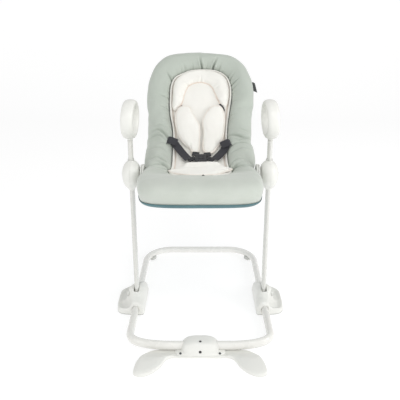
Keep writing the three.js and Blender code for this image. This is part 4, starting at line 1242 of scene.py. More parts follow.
# x, s, n of the strap's middle; its cross direction in x, s, n
STRAP_R = [((47, 272, 37.5), (0.84, -0.54, 0)), ((60, 293, 36.5), (0.84, -0.54, 0.0)), ((76, 320, 36), (0.84, -0.54, 0.02)),
           ((83, 334, 39.5), (0.78, -0.62, 0.05)), ((88, 343.5, 42.4), (0.74, -0.66, 0.08))]
STRAP_L = [((-38, 272, 37.5), (-0.84, -0.54, 0)), ((-52, 297, 36.5), (-0.84, -0.54, 0.0)), ((-70, 330, 36), (-0.84, -0.54, 0.02)),
           ((-82, 350, 38.6), (-0.80, -0.58, 0.08)), ((-88, 358.5, 41.4), (-0.74, -0.66, 0.08))]
# the end of each waist strap comes out of the slot beside the insert and is folded over the strap
FOLD_R = [(86, 346.3, 38.4), (77, 342.9, 38.4), (71, 340.5, 39.0), (69.4, 339.9, 41.4), (71.5, 340.7, 43.8), (80, 344, 46.6),
          (89, 347.5, 49.5), (96, 350.3, 49.5), (102, 352.4, 42)]
FOLD_L = [(-94, 361.5, 37.6), (-85, 357.6, 37.6), (-78.5, 354.9, 38.2), (-76.6, 354.3, 40.8), (-78.8, 355.0, 43.2), (-88, 357.6, 46.4),
          (-99, 360.2, 50.0), (-106, 361.6, 49.0), (-112, 362.4, 40)]
for name, line, across in (("waist_fold_right", FOLD_R, (-0.37, 0.93, 0.05)), ("waist_fold_left", FOLD_L, (0.25, 0.97, 0.05))):
    p = spline(line, 80)
    d = np.tile(across, (80, 1))
    ribbon(name, seat(p[:, 0], p[:, 1], p[:, 2]), seat_dir(p[:, 0], p[:, 1], p[:, 2], d[:, 0], d[:, 1], d[:, 2]), 0.0262, 0.0015, "seat")
for name, table, node in (("waist_strap_right", STRAP_R, "right_waist_strap"), ("waist_strap_left", STRAP_L, "left_waist_strap")):
    p = spline([a for a, _ in table], 70)
    d = np.stack([np.interp(np.linspace(0, 1, 70), np.linspace(0, 1, len(table)), [b[k] for _, b in table]) for k in range(3)], 1)
    centre = seat(p[:, 0], p[:, 1], p[:, 2])
    side = seat_dir(p[:, 0], p[:, 1], p[:, 2], d[:, 0], d[:, 1], d[:, 2])
    ribbon(name, centre, side, 0.0265, 0.0016, "seat", node)

# the end of each shoulder strap that shows beside its pad
for name, line in (("shoulder_strap_right", [(67, 514, 32.0), (73, 507, 33.6), (78, 498, 34), (83, 488, 31)]),
                   ("shoulder_strap_left", [(-62, 512, 26), (-68, 505, 26.5), (-74, 496, 26.5), (-78, 486, 26)])):
    p = spline(line, 24)
    d = np.tile([0.86 * np.sign(p[0, 0]), 0.5, 0.0], (24, 1))
    ribbon(name, seat(p[:, 0], p[:, 1], p[:, 2]), seat_dir(p[:, 0], p[:, 1], p[:, 2], d[:, 0], d[:, 1], d[:, 2]),
           0.0065, 0.0014, "seat")


def rounded_box(name, half, radius, place, cells=6, dent=None):
    """A box with rounded edges. half and radius in mm; place turns its own points (mm) into the frame."""
    b = bmesh.new()
    bmesh.ops.create_cube(b, size=2.0)
    bmesh.ops.subdivide_edges(b, edges=b.edges, cuts=cells * 2 - 1, use_grid_fill=True)
    p = np.array([v.co for v in b.verts])
    f = [[v.index for v in face.verts] for face in b.faces]
    b.free()
    half = np.asarray(half, float)
    core = half - radius
    q = np.sign(p) * np.abs(p) ** 0.75 * half
    q = np.where(np.abs(p) > 0.999, np.sign(p) * half, q)
    inner = np.clip(q, -core, core)
    d = q - inner
    l = np.linalg.norm(d, axis=1)
    q = inner + d / np.maximum(l, 1e-9)[:, None] * radius
    if dent is not None:
        q = dent(q)
    return piece(name, place(q), f)


def on_seat(x, s, n, turn=0.0):
    c, k = math.cos(math.radians(turn)), math.sin(math.radians(turn))

    def place(q):
        return seat(x + q[:, 0] * c - q[:, 1] * k, s + q[:, 0] * k + q[:, 1] * c, n + q[:, 2])
    return place


def buckle_dent(q):
    q = q.copy()
    k = 1 - 0.10 * np.clip((q[:, 1] + 18) / 36, 0, 1) - 0.05 * (q[:, 1] / 19) ** 2
    q[:, 0] *= k
    up = q[:, 2] > 0
    q[:, 2] = np.where(up, q[:, 2] - 1.6 * (q[:, 0] / 24) ** 2 - 0.9 * (q[:, 1] / 19) ** 2, q[:, 2])
    return q


buckle = rounded_box("buckle_body", (20, 19.5, 6.6), 3.0, on_seat(2, 279, 35.6), 10, buckle_dent)
frame_cut = rounded_box("cut", (9.2, 9.2, 4.0), 1.6, on_seat(2, 279, 43.5), 4)
boolean(buckle, frame_cut)
finish_piece(buckle, BLACK, "seat", "buckle_housing", sharp=38)


def key_dent(q):
    q = q.copy()
    r = np.hypot(q[:, 0], q[:, 1])
    q[:, 2] = np.where(q[:, 2] > 0, q[:, 2] - 0.9 * np.exp(-(r / 4.6) ** 2), q[:, 2])
    return q


key = rounded_box("buckle_key", (8.3, 8.3, 2.1), 0.9, on_seat(2, 279, 41.2), 8, key_dent)
finish_piece(key, BLACK, "buckle_release", "buckle_button", sharp=38)

# ribbed ends of the waist tongues and the prongs of the shoulder tongues
for side, x0, s0, turn, node in ((1, 32.5, 275, 57, "right_buckle_tongue"), (-1, -28.0, 275, -57, "left_buckle_tongue")):
    grip = rounded_box("grip", (13.2, 9.5, 2.6), 1.3, on_seat(x0, s0, 35.8, turn - 90 * side), 6)
    parts = [grip]
    for k in range(4):
        parts.append(rounded_box("rib", (10.5, 0.75, 1.0), 0.6, on_seat(x0 + side * (-4.5 + 3.0 * k) * 0.84, s0 + (-4.5 + 3.0 * k) * 0.3, 38.5, turn - 90 * side), 3))
    tongue = joined(f"buckle_tongue_{'right' if side > 0 else 'left'}", parts)
    finish_piece(tongue, BLACK, "seat", node, sharp=38)
for side, x0, s0 in ((1, 23.5, 302), (-1, -15.0, 305)):
    prong = rounded_box(f"shoulder_tongue_{'right' if side > 0 else 'left'}", (11.5, 9.5, 2.4), 1.5, on_seat(x0, s0, 34.6, 10 * side), 6)
    finish_piece(prong, BLACK, "seat", sharp=38)

# small snap loop below the flap
loop_at, _ = ride_surface(rim, seat(np.array([8.6]), np.array([88.0]), np.array([75.0])), lift=0.0, reach=0.06, direction=down_at(np.array([8.6]), np.array([88.0])))
loop_n = float(unseat(loop_at)[2][0])
loop_pts = spline([(6.2, 90, loop_n - 2.6), (6.0, 85.5, loop_n + 1.4), (8.6, 82.4, loop_n + 3.2), (11.4, 85.0, loop_n + 1.6), (11.4, 90, loop_n - 2.4)], 28)
ribbon("flap_loop", seat(loop_pts[:, 0], loop_pts[:, 1], loop_pts[:, 2]),
       seat_dir(loop_pts[:, 0], loop_pts[:, 1], loop_pts[:, 2], np.zeros(28), np.zeros(28), np.ones(28)), 0.0028, 0.0010, "seat", paint=TAG)

# ----------------------------------------------------------------------- side tag
tag_rows = []
for k in range(13):
    v = -1 + k / 6
    for j in range(9):
        u = -1 + j / 4
        x = 188.6 + 8.4 * u - 3.6 * v
        s = 590 + 20.0 * v - 3.0 * u
        tag_rows.append((x, s, 27 + 0.9 * math.sin(2.2 * v) - 1.4 * (u + 1) ** 2 * 0.5 + 0.4 * math.sin(3 * u)))
tag_rows = np.array(tag_rows)
tag = piece("side_tag_cloth", seat(tag_rows[:, 0], tag_rows[:, 1], tag_rows[:, 2]), grid_faces(13, 9), outward=False)
m = tag.modifiers.new("thick", "SOLIDIFY")
m.thickness, m.offset = 0.0011, 0.0
m2 = tag.modifiers.new("sub", "SUBSURF")
m2.levels = m2.render_levels = 1
apply_all(tag)
attribute(tag, "seam_and_shade", np.zeros(len(tag.data.vertices)))
finish_piece(tag, TAG, "seat", "side_tag")

# ---------------------------------------------------------------------- stitching
def moved_in(outline, dist):
    """A closed outline (x, s) moved towards its inside."""
    q = np.asarray(outline, float)
    t = np.roll(q, -1, 0) - np.roll(q, 1, 0)
    t /= np.linalg.norm(t, axis=1)[:, None]
    n = np.stack([-t[:, 1], t[:, 0]], 1)
    turn = np.sign(np.sum(q[:, 0] * np.roll(q[:, 1], -1) - np.roll(q[:, 0], -1) * q[:, 1]))
    return q + n * dist * turn


def sew(name, target, line, paint, closed=True, height=60.0, **kw):
    """A row of stitches over the top of a piece, along a line of (x, s)."""
    line = np.asarray(line, float)
    if closed:
        line = np.vstack([line, line[:1]])
    above = seat(line[:, 0], line[:, 1], np.full(len(line), height))
    path, up = ride_surface(target, above, lift=0.0, reach=0.05, direction=down_at(line[:, 0], line[:, 1]))
    return stitches(name, path, up, paint, "seat", **kw)


sew("insert_stitch", insert, spline(inset_outline(9.0, 420), 420, closed=True), THREAD_CREAM, height=40)
sew("pad_stitch_right", pad_right, moved_in(out_r, 5.4), THREAD_CREAM, height=55)
sew("pad_stitch_left", pad_left, moved_in(out_l, 5.4), THREAD_CREAM, height=55)
sew("flap_stitch", flap, moved_in(flap_outline, 4.6), THREAD_CREAM, height=55)
sew("head_support_stitch", support, st[:, 2:4] + np.array([0, 4.5]), THREAD_CREAM, closed=False, height=55)
sew("rim_stitch_right", rim, spline([(p_[0] + 1.5, p_[1] + 5.0) for p_ in SEAM_RIGHT], 60), THREAD_SAGE, closed=False, height=70)
sew("rim_stitch_left", rim, spline([(p_[0] - 1.5, p_[1] + 5.0) for p_ in SEAM_LEFT], 60), THREAD_SAGE, closed=False, height=70)

# ------------------------------------------------------------------ frame parts
LEG_X, TUBE_Z, PIVOT_Z, HUB = 216.0, 20.0, 50.0, 420.0
LEAN = math.radians(3.5)


def power(v, e):
    return np.sign(v) * np.abs(v) ** e


def on_post(p):
    """Points of the right post (mm: across, deep, along it from the pivot) to the frame."""
    p = np.asarray(p, float)
    c, k = math.cos(LEAN), math.sin(LEAN)
    return world(np.stack([LEG_X + p[..., 0], p[..., 1] * c + p[..., 2] * k, PIVOT_Z - p[..., 1] * k + p[..., 2] * c], -1))


def oval(a, b, n):
    t = np.linspace(0, 2 * np.pi, n, endpoint=False)
    return np.stack([a * np.cos(t), b * np.sin(t)], 1)


def pair(o, paint, body_right, body_left, node, sharp=None):
    """Finish a right-hand piece and its mirror image."""
    name = o.name
    o.name = "right_" + name
    twin = mirrored(o, "left_" + name)
    nodes_r = ["right_" + node] if node else []
    nodes_l = ["left_" + node] if node else []
    finish_piece(o, paint, body_right, *nodes_r, sharp=sharp)
    finish_piece(twin, paint, body_left, *nodes_l, sharp=sharp)
    return o, twin


def turned(name, profile_, y0, z0, place=world, n=56, closed=False):
    """A turned body about an axis along x; the profile is (x, radius)."""
    t = np.linspace(0, 2 * np.pi, n, endpoint=False)
    rings = [place(np.stack([np.full(n, x), y0 + r * np.cos(t), z0 + r * np.sin(t)], 1)) for x, r in profile_]
    return tube_of(name, rings, closed=closed)


def bar_along(name, path, half_side, half_up, n=40):
    """An oval tube along a level path of (x, y) in mm; its ends are rounded over."""
    path = np.asarray(path, float)
    t = np.gradient(path, axis=0)
    t /= np.linalg.norm(t, axis=1)[:, None]
    side = np.stack([t[:, 1], -t[:, 0]], 1)
    sec = oval(half_side, half_up, n)
    rings = []
    for i in range(len(path)):
        q = path[i] + np.outer(sec[:, 0], side[i])
        rings.append(np.stack([q[:, 0], q[:, 1], TUBE_Z + sec[:, 1]], 1))
    for i, j, d in ((0, 0, -1), (len(path) - 1, -1, 1)):
        extra = []
        for k, (f, m) in enumerate(((0.97, 0.35), (0.90, 0.6))):
            q = path[i] + t[i] * d * m + np.outer(sec[:, 0] * f, side[i])
            extra.append(np.stack([q[:, 0], q[:, 1], TUBE_Z + sec[:, 1] * f], 1))
        rings = (extra[::-1] + rings) if d < 0 else (rings + extra)
    return tube_of(name, world(np.array(rings)))


FRONT_BEND = [(LEG_X, -26.8), (LEG_X, -60), (LEG_X, -100), (LEG_X, -140), (LEG_X, -172), (215, -188), (210.5, -201.5), (201, -213),
              (186, -222.5), (165, -230), (140, -235), (112, -238.2), (84, -239), (50, -239), (0, -239)]
half = spline(FRONT_BEND, 130)
front_tube = bar_along("front_tube", np.vstack([half, (half * np.array([-1, 1]))[-2::-1]]), 11.5, 14)
finish_piece(front_tube, ENAMEL, "base", "front_base_tube")

arc = [(LEG_X - 100 + 100 * math.cos(a), 275 + 100 * math.sin(a)) for a in np.linspace(0, math.pi / 2, 40)]
half = np.array([(LEG_X, y) for y in np.linspace(40.8, 268, 14)] + arc + [(x, 375) for x in np.linspace(108, 0, 12)])
rear_tube = bar_along("rear_tube", np.vstack([half, (half * np.array([-1, 1]))[-2::-1]]), 12, 12)
# painted light: the rear tube uses the lighter copy of the enamel
finish_piece(rear_tube, LIT_REAR_ENAMEL, "base", "rear_base_tube")

# posts
sec = oval(8, 15, 48)
rings = []
for z, f in [(18.3, 0.93), (18.9, 0.985), (20, 1.0)] + [(z, 1.0) for z in np.linspace(34, 516, 24)] + [(526.6, 1.0), (527.6, 0.985), (528.1, 0.95)]:
    rings.append(on_post(np.stack([sec[:, 0] * f, sec[:, 1] * f, np.full(48, z)], 1)))
# painted shade: the posts use the darker copy of the enamel
pair(tube_of("post_tube", rings), SHADED_POST_ENAMEL, "posts", "posts", "upright_tube")

# ring handles: a wide band with soft edges, its neck drawn out of the ring
U, V = np.meshgrid(np.linspace(0, 2 * np.pi, 170, endpoint=False), np.linspace(0, 2 * np.pi, 60, endpoint=False), indexing="ij")
cy, cz = np.cos(U), np.sin(U)
band_r = 10.2 * power(np.cos(V), 0.88)
ny, nz = cy / 53, cz / 49.5
nl = np.hypot(ny, nz)
bx, by, bz = 18.4 * power(np.sin(V), 0.84), 53 * cy + band_r * ny / nl, 591 + 49.5 * cz + band_r * nz / nl
yaw = math.radians(3.6)
bx, by = bx * math.cos(yaw) - by * math.sin(yaw), bx * math.sin(yaw) + by * math.cos(yaw)
bx = bx - 0.05 * np.maximum(0, bz - 536)          # the ring leans in a little
band = piece("band", on_post(np.stack([bx, by, bz], -1)).reshape(-1, 3), grid_faces(170, 60, True, True))
neck_rings = []
for z, a, b in ((528.4, 8.1, 15.1), (530, 8.25, 15.25), (534, 8.4, 15.6), (538, 9.2, 16.8), (542, 10.6, 18.6), (547, 12.6, 20.5)):
    q = oval(a, b, 48)
    neck_rings.append(on_post(np.stack([q[:, 0], q[:, 1], np.full(48, z)], 1)))
handle = joined("ring_handle", [band, tube_of("neck", neck_rings)])
remesh(handle, 0.00095, smooth=8)
pair(handle, WHITE, "posts", "posts", "handle")

# ---- sliders: egg shells in two halves that run out into a collar on the post
E_P = 2 / 0.9


def egg_radius(z, th, a, b, c):
    top_ = np.clip(1 - np.abs(z / np.where(z > 0, c - 3.6, c + 0.6)) ** E_P, 0, 1) ** (1 / E_P)
    return top_ / (np.abs(np.cos(th) / a) ** E_P + np.abs(np.sin(th) / b) ** E_P) ** (1 / E_P)


def ellipse_radius(th, a, b):
    return 1 / np.sqrt((np.cos(th) / a) ** 2 + (np.sin(th) / b) ** 2)


def egg_half(name, side):
    z = np.concatenate([[48.8, 48.5, 47.9, 46.8, 45.0], 2.1 + 45.5 * np.sin(np.linspace(0.93, -1, 78) * np.pi / 2) - 4.2 * smoothstep(np.linspace(0, 1, 78), 0, 1), [-48.4, -49.2, -49.7, -49.9]])
    lip = np.concatenate([[0.7, 0.35, 0.1, 0, 0], np.zeros(78), [0, 0.1, 0.5, 1.1]])
    th = np.sin(np.linspace(-1, 1, 64) * np.pi / 2) * np.pi / 2
    Z, T = np.meshgrid(z, th)
    outer = egg_radius(Z, T, 29, 44, 47)
    collar = ellipse_radius(T, 10.0, 17.0)
    outer = (outer ** 6 + collar ** 6) ** (1 / 6) - lip[None, :]
    x_now, y_now = outer * np.cos(T), outer * np.sin(T)
    rho_ = np.hypot(y_now, Z)
    if side < 0:
        outer = outer + 0.9 * np.exp(-((rho_ - 31) / 1.5) ** 2) * (x_now > 8)
    a = (np.pi / 2 - np.abs(T)) * outer
    outer = outer - 0.22 * np.exp(-(a / 0.5) ** 2)
    inner = np.maximum(ellipse_radius(T, 8.55, 15.55), egg_radius(Z, T, 26.4, 41.4, 44.4))
    inner = np.minimum(inner, outer - 0.5)
    po = np.stack([side * (outer * np.cos(T) * (1 - 0.14 / 29) + 0.14), outer * np.sin(T), HUB + Z], -1)
    pi = np.stack([side * (inner * np.cos(T) * (1 - 0.14 / 29) + 0.14), inner * np.sin(T), HUB + Z], -1)
    ring_ = np.concatenate([po, pi[:, ::-1]], 1)
    nu, nv = ring_.shape[:2]
    m_ = len(z)
    faces = grid_faces(nu, nv, False, True)
    for base_, flip in ((0, False), ((nu - 1) * nv, True)):
        for j in range(m_ - 1):
            q = (base_ + j, base_ + j + 1, base_ + nv - 2 - j, base_ + nv - 1 - j)
            faces.append(q[::-1] if flip else q)
    return piece(name, on_post(ring_).reshape(-1, 3), faces)


outer_half = egg_half("slider_shell_outer", 1)
pocket = turned("pocket", [(12, 11.5), (45, 11.5)], 0, HUB, on_post, 64)
boolean(outer_half, pocket)
pair(outer_half, WHITE, "carriage", "carriage", "slider_outer", sharp=40)

inner_half = egg_half("slider_shell_inner", -1)
boss = turned("boss", [(-0.8, 6.2), (-22.2, 6.2)], 28, HUB, on_post, 40)
boolean(inner_half, boss, "UNION")
well = turned("well", [(-60, 4.1), (-19.2, 4.1)], 28, HUB, on_post, 40)
boolean(inner_half, well)
hub_boss = turned("hub_boss", [(-21, 18.5), (-25.5, 18.3), (-27.2, 17.4), (-28.9, 16.9), (-29.5, 16.2)], 0, HUB, on_post, 64)
axle = turned("axle", [(-28, 5), (-40.6, 5), (-41.3, 4.6), (-41.6, 4.0)], 0, HUB, on_post, 40)
inner_half = joined("slider_shell_inner", [inner_half, hub_boss, axle])
pair(inner_half, WHITE, "carriage", "carriage", "slider_inner", sharp=40)

button = turned("height_key", [(19.4, 3.2), (19.6, 3.4), (24.0, 3.4), (24.2, 10.6), (24.6, 11), (28.0, 11), (28.8, 10.7), (29.3, 10.0),
                               (29.55, 9.2), (29.5, 8.2), (29.2, 6.8), (28.9, 4.8), (28.8, 2.0)], 0, HUB, on_post, 64)
pair(button, GREY, "right_height_release", "left_height_release", "height_button", sharp=40)


def cross_screw(name, radius, shank, length, place):
    """Screw with a rounded head and a cross recess. Its own z runs out of the head's top, which is at 0."""
    n = 48
    t = np.linspace(0, 2 * np.pi, n, endpoint=False)
    rr = np.array([0.0, 0.06, 0.12, 0.18, 0.24, 0.30, 0.36, 0.42, 0.48, 0.54, 0.60, 0.66, 0.72, 0.78, 0.84, 0.90, 0.95, 0.985, 1.0]) * radius
    rings = []
    for r in rr[1:][::-1]:
        x, y = r * np.cos(t), r * np.sin(t)
        z = -0.75 * (r / radius) ** 3.2
        arm = 0.60 * radius
        wide = 0.13 * radius
        cut = np.maximum(smoothstep(wide * 1.5 - np.abs(x), 0, wide) * smoothstep(arm - np.abs(y), 0, 0.3 * arm),
                         smoothstep(wide * 1.5 - np.abs(y), 0, wide) * smoothstep(arm - np.abs(x), 0, 0.3 * arm))
        rings.append(np.stack([x, y, z - 0.95 * cut], 1))
    under = [np.stack([radius * 0.98 * np.cos(t), radius * 0.98 * np.sin(t), np.full(n, -1.5)], 1),
             np.stack([shank * 1.15 * np.cos(t), shank * 1.15 * np.sin(t), np.full(n, -2.1)], 1),
             np.stack([shank * np.cos(t), shank * np.sin(t), np.full(n, -2.4)], 1),
             np.stack([shank * np.cos(t), shank * np.sin(t), np.full(n, -length + 0.6)], 1),
             np.stack([shank * 0.6 * np.cos(t), shank * 0.6 * np.sin(t), np.full(n, -length)], 1)]
    rings = np.array(under[::-1] + rings)
    return tube_of(name, place(rings))


screw = cross_screw("slider_shell_screw", 3.5, 1.6, 14.6, lambda q: on_post(np.stack([-19.3 - q[..., 2], 28 + q[..., 0], HUB + q[..., 1]], -1)))
pair(screw, STEEL, "carriage", "carriage", "slider_screw", sharp=50)

# return springs under the height buttons, carried by the button's body
for side in ("right", "left"):
    lo_, hi_ = (np.array(v, float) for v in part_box(f"{side}_button_spring"))
    wire = 0.00055
    mid, coil_r = (lo_ + hi_) / 2, (hi_[1] - lo_[1]) / 2 - wire
    out_ = 1.0 if side == "right" else -1.0
    x_in, x_out = (lo_[0], hi_[0]) if out_ > 0 else (hi_[0], lo_[0])
    t = np.linspace(0, 1, 240)
    reach_ = smoothstep(t, 0.0, 1.0) * 0.25 + t * 0.75
    ang = t * 2 * np.pi * 4.5
    line = np.stack([x_in + out_ * wire + (x_out - x_in - 2 * out_ * wire) * reach_, mid[1] + coil_r * np.cos(ang), mid[2] + coil_r * np.sin(ang)], 1)
    tan_ = np.gradient(line, axis=0)
    tan_ /= np.linalg.norm(tan_, axis=1)[:, None]
    rad_ = np.stack([np.zeros(240), np.cos(ang), np.sin(ang)], 1)
    bi_ = np.cross(tan_, rad_)
    bi_ /= np.linalg.norm(bi_, axis=1)[:, None]
    k_ = np.linspace(0, 2 * np.pi, 12, endpoint=False)
    spring = tube_of(f"{side}_return_spring", line[:, None] + wire * (np.cos(k_)[None, :, None] * rad_[:, None] + np.sin(k_)[None, :, None] * bi_[:, None]))
    finish_piece(spring, STEEL, f"{side}_height_release", f"{side}_button_spring")
    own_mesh(spring)

# indexing discs of the hubs, with a toothed rim
hub_y, hub_z = HUB * math.sin(LEAN), PIVOT_Z + HUB * math.cos(LEAN)
prof = [(181.0, 6.2), (181.0, 24.5), (181.5, 25.4), (181.5, 28.6), (182.0, 30.0), (183.2, 30.0), (185.2, 30.0), (186.0, 29.2), (186.0, 20), (185.2, 19.2),
        (185.2, 8.4), (185.8, 7.6), (185.8, 5.7), (185.2, 5.5), (182.0, 5.5), (181.3, 5.6)]
t = np.linspace(0, 2 * np.pi, 192, endpoint=False)
rings = []
for x, r in prof:
    rr = r - (0.75 * smoothstep(np.sin(t * 24), -0.2, 0.4) if r > 29.5 else 0.0)
    rings.append(world(np.stack([np.full(192, x), hub_y + rr * np.cos(t), hub_z + rr * np.sin(t)], 1)))
pair(tube_of("hub_index_disc", rings, closed=True), GREY, "hubs", "hubs", "hub_disc", sharp=35)


# ---- moulded shapes drawn as heights over a plan
def inside_of(x, y, poly):
    poly = np.asarray(poly, float)
    ok = np.zeros(x.shape, bool)
    for (x0, y0), (x1, y1) in zip(poly, np.roll(poly, -1, 0)):
        if y0 == y1:
            continue
        hit = ((y0 > y) != (y1 > y)) & (x < (x1 - x0) * (y - y0) / (y1 - y0) + x0)
        ok ^= hit
    return ok


def depth_in(x, y, poly):
    """Distance inside an outline, negative outside it."""
    d, _ = to_path(x, y, np.vstack([poly, poly[:1]]))
    return np.where(inside_of(x, y, poly), d, -d)


def relief(name, x0, x1, y0, y1, step, top_, cut):
    """A closed body under top_(x, y), cut level at z = cut (mm)."""
    nx, ny_ = int((x1 - x0) / step) + 1, int((y1 - y0) / step) + 1
    X, Y = np.meshgrid(np.linspace(x0, x1, nx), np.linspace(y0, y1, ny_), indexing="ij")
    Zt = top_(X.ravel(), Y.ravel())
    up = np.stack([X.ravel(), Y.ravel(), Zt], 1)
    low = np.stack([X.ravel(), Y.ravel(), np.full(X.size, cut - 30.0)], 1)
    n = X.size
    faces = grid_faces(nx, ny_) + [tuple(v + n for v in f[::-1]) for f in grid_faces(nx, ny_)]
    ring_ = [i * ny_ for i in range(nx)] + [(nx - 1) * ny_ + j for j in range(1, ny_)] + [i * ny_ + ny_ - 1 for i in range(nx - 2, -1, -1)] + list(range(ny_ - 2, 0, -1))
    for a, b in zip(ring_, ring_[1:] + ring_[:1]):
        faces.append((a, b, b + n, a + n))
    o = piece(name, world(np.vstack([up, low])), faces)
    level(o, cut)
    return o


def level(o, cut):
    """Everything below z = cut (mm) is taken off and the body closed again."""
    b = bmesh.new()
    b.from_mesh(o.data)
    bmesh.ops.bisect_plane(b, geom=b.verts[:] + b.edges[:] + b.faces[:], dist=1e-7, plane_co=(0, 0, cut * 0.001),
                           plane_no=(0, 0, 1), clear_inner=True)
    rim_edges = [e for e in b.edges if len(e.link_faces) == 1]
    bmesh.ops.triangle_fill(b, use_beauty=True, edges=rim_edges)
    bmesh.ops.recalc_face_normals(b, faces=b.faces)
    b.to_mesh(o.data)
    b.free()
    o.data.update()


def edge_height(z_full, d, radius, wall=1.2):
    """Rounded shoulder at an outline and a steep wall under it."""
    r = np.minimum(radius, 0.6 * z_full)
    k = np.clip(1 - d / r, 0, 1)
    z = z_full - r * (1 - np.sqrt(np.clip(1 - k ** 2, 0, 1)))
    return np.where(d < 0, (z_full - r) * (1 + d / wall) + d * 2, z)


# side housings: a ramp round the post, a dished wing outside it
HOUSE = [(188.5, -57), (193, -60), (214, -61.5), (232, -59.5), (256, -56), (270, -50), (279, -39), (283.3, -20), (285, 10), (285, 48), (283, 65), (275, 79),
         (258, 93), (240, 104.5), (214, 107.5), (194, 106.5), (188.5, 102), (187.2, 80), (187, 40), (187, 0), (187, -35)]
house_line = spline(HOUSE, 260, closed=True)


def house_top(x, y):
    d = depth_in(x, y, house_line)
    ridge = np.interp(y, [-66, -62, -58, -50, -32, -17, -6, 4, 16, 34, 60, 90, 104, 110], [35, 37, 41, 46.5, 56, 68, 73.5, 75.5, 75, 68, 56, 43, 31, 24])
    wing_ = 10.5 + 7.5 * (1 - smoothstep(d, 3, 22)) + 3.5 * np.exp(-((y + 58) / 13) ** 2)
    shoulder = 227.5 + 11 * np.exp(-((y) / 14.5) ** 2) - 5.0 * smoothstep(-y, 20, 60)
    f = 1 / (1 + (np.maximum(0, x - shoulder) / 10.0) ** 2.3)
    crown = 1 - 0.36 * (np.clip(214 - x, 0, 40) / 27) ** 2 - 0.05 * (np.clip(x - 214, 0, 40) / 27) ** 2
    full = wing_ + np.maximum(ridge * crown - wing_, 0) * f
    return edge_height(full, d - 2.2, 4.5 + 5.5 * f, 2.6)


house = relief("side_housing", 183.6, 288.4, -65, 111, 1.3, house_top, 3.3)
slot = rounded_box("slot", (8.8, 79.5, 44), 3.0, lambda q: world(q + np.array([LEG_X, 60.5, 78.6])), 8)
boolean(house, slot)
fork = rounded_box("fork", (8.8, 23.4, 30), 1.5, lambda q: world(q + np.array([LEG_X, 0, 30.5])), 6)
boolean(house, fork)
for y0, y1, a, b in ((-130, -24.5, 11.8, 14.3), (38.5, 150, 12.6, 12.6)):
    sec = oval(a, b, 44)
    hole = tube_of("hole", [world(np.stack([LEG_X + sec[:, 0], np.full(44, y), TUBE_Z + sec[:, 1]], 1)) for y in (y0, y1)])
    boolean(house, hole)
boolean(house, turned("key_pocket", [(234.0, 11.0), (262, 11.0)], 0, PIVOT_Z, world, 44))
remesh(house, 0.00115, smooth=5)
pair(house, WHITE, "base", "base", "housing")

key_ = turned("fold_key", [(238.9, 6), (239.1, 9.6), (239.5, 9.9), (246.2, 9.9), (247.4, 9.4), (248.0, 8.2), (248.0, 7.2), (247.5, 5.8), (247.2, 2.0)],
              0, PIVOT_Z, world, 56)
pair(key_, GREY, "right_fold_release", "left_fold_release", "fold_button", sharp=40)


def plate_of(name, outline, z0, z1, bevel=0.7):
    """A flat plate with softened edges."""
    outline = np.asarray(outline, float)
    t_ = np.roll(outline, -1, 0) - np.roll(outline, 1, 0)
    t_ /= np.linalg.norm(t_, axis=1)[:, None]
    n_in = np.stack([-t_[:, 1], t_[:, 0]], 1)
    area_ = np.sum(outline[:, 0] * np.roll(outline[:, 1], -1) - np.roll(outline[:, 0], -1) * outline[:, 1])
    n_in *= np.sign(area_)
    m_ = len(outline)
    layers = [(z0, bevel), (z0 + bevel * 0.3, bevel * 0.3), (z0 + bevel, 0), (z1 - bevel, 0), (z1 - bevel * 0.3, bevel * 0.3), (z1, bevel)]
    verts = np.vstack([np.column_stack([outline + n_in * ins, np.full(m_, z)]) for z, ins in layers])
    faces = grid_faces(len(layers), m_, False, True)
    faces += [tuple(range(m_ - 1, -1, -1)), tuple(range((len(layers) - 1) * m_, len(layers) * m_))]
    return piece(name, world(verts), faces)


sole_line = spline([(x + (1.4 if x < 200 else -1.0), y * 0.985) for x, y in HOUSE], 200, closed=True)
pair(plate_of("rubber_sole", sole_line, 0.0, 3.0), RUBBER, "base", "base", "sole", sharp=40)

# double paddle foot
FOOT = [(0, -273), (62, -273), (79, -273), (93, -278), (102, -288), (112, -310), (130, -333), (146, -344.5), (161, -350), (176, -349), (186, -342),
        (189.5, -328), (188.5, -311), (181, -282), (170, -262), (155, -248), (139, -240), (118, -236), (100, -226), (84, -212), (66, -207), (0, -206)]
foot_line = spline(FOOT[:-1] + [(0, -206)] + [(-x, y) for x, y in FOOT[1:-1]][::-1], 560, closed=True)
foot_half_line = spline(FOOT, 300)
foot_poly = np.vstack([foot_half_line, (foot_half_line * np.array([-1, 1]))[-2:0:-1]])


def foot_top(x, y):
    d = depth_in(x, y, foot_poly)
    cx_, cy_ = np.abs(x) - 146, y + 294
    along_, across_ = cx_ * 0.53 - cy_ * 0.85, cx_ * 0.85 + cy_ * 0.53
    dome = 3.4 * np.exp(-(along_ / 42) ** 2 - (across_ / 26) ** 2)
    full = 9.2 + 2.2 * smoothstep(d, 2, 14) + dome
    full = np.minimum(full, 5.6 + 9.0 * smoothstep(-252.0 - y, -4, 44))
    full = np.where((np.abs(x) < 79) & (y > -272), np.minimum(full, 5.6), full)
    return edge_height(full, d - 1.2, 4.2, 2.6)


foot = relief("paddle_foot", -194, 194, -354, -202, 1.3, foot_top, 0.0)
remesh(foot, 0.0014, smooth=4)
c = coords(foot)
c[:, 2] = np.maximum(c[:, 2], 0.0)
set_coords(foot, c)
finish_piece(foot, WHITE, "base", "front_foot")


def sphere_of(name, place, n=96, m=64):
    """A ball reshaped by place(unit vectors)."""
    th = np.linspace(0, np.pi, m)[1:-1]
    ph = np.linspace(0, 2 * np.pi, n, endpoint=False)
    rings = [np.stack([np.cos(t_) * np.ones(n), np.sin(t_) * np.cos(ph), np.sin(t_) * np.sin(ph)], 1) for t_ in th]
    return tube_of(name, place(np.array(rings)))


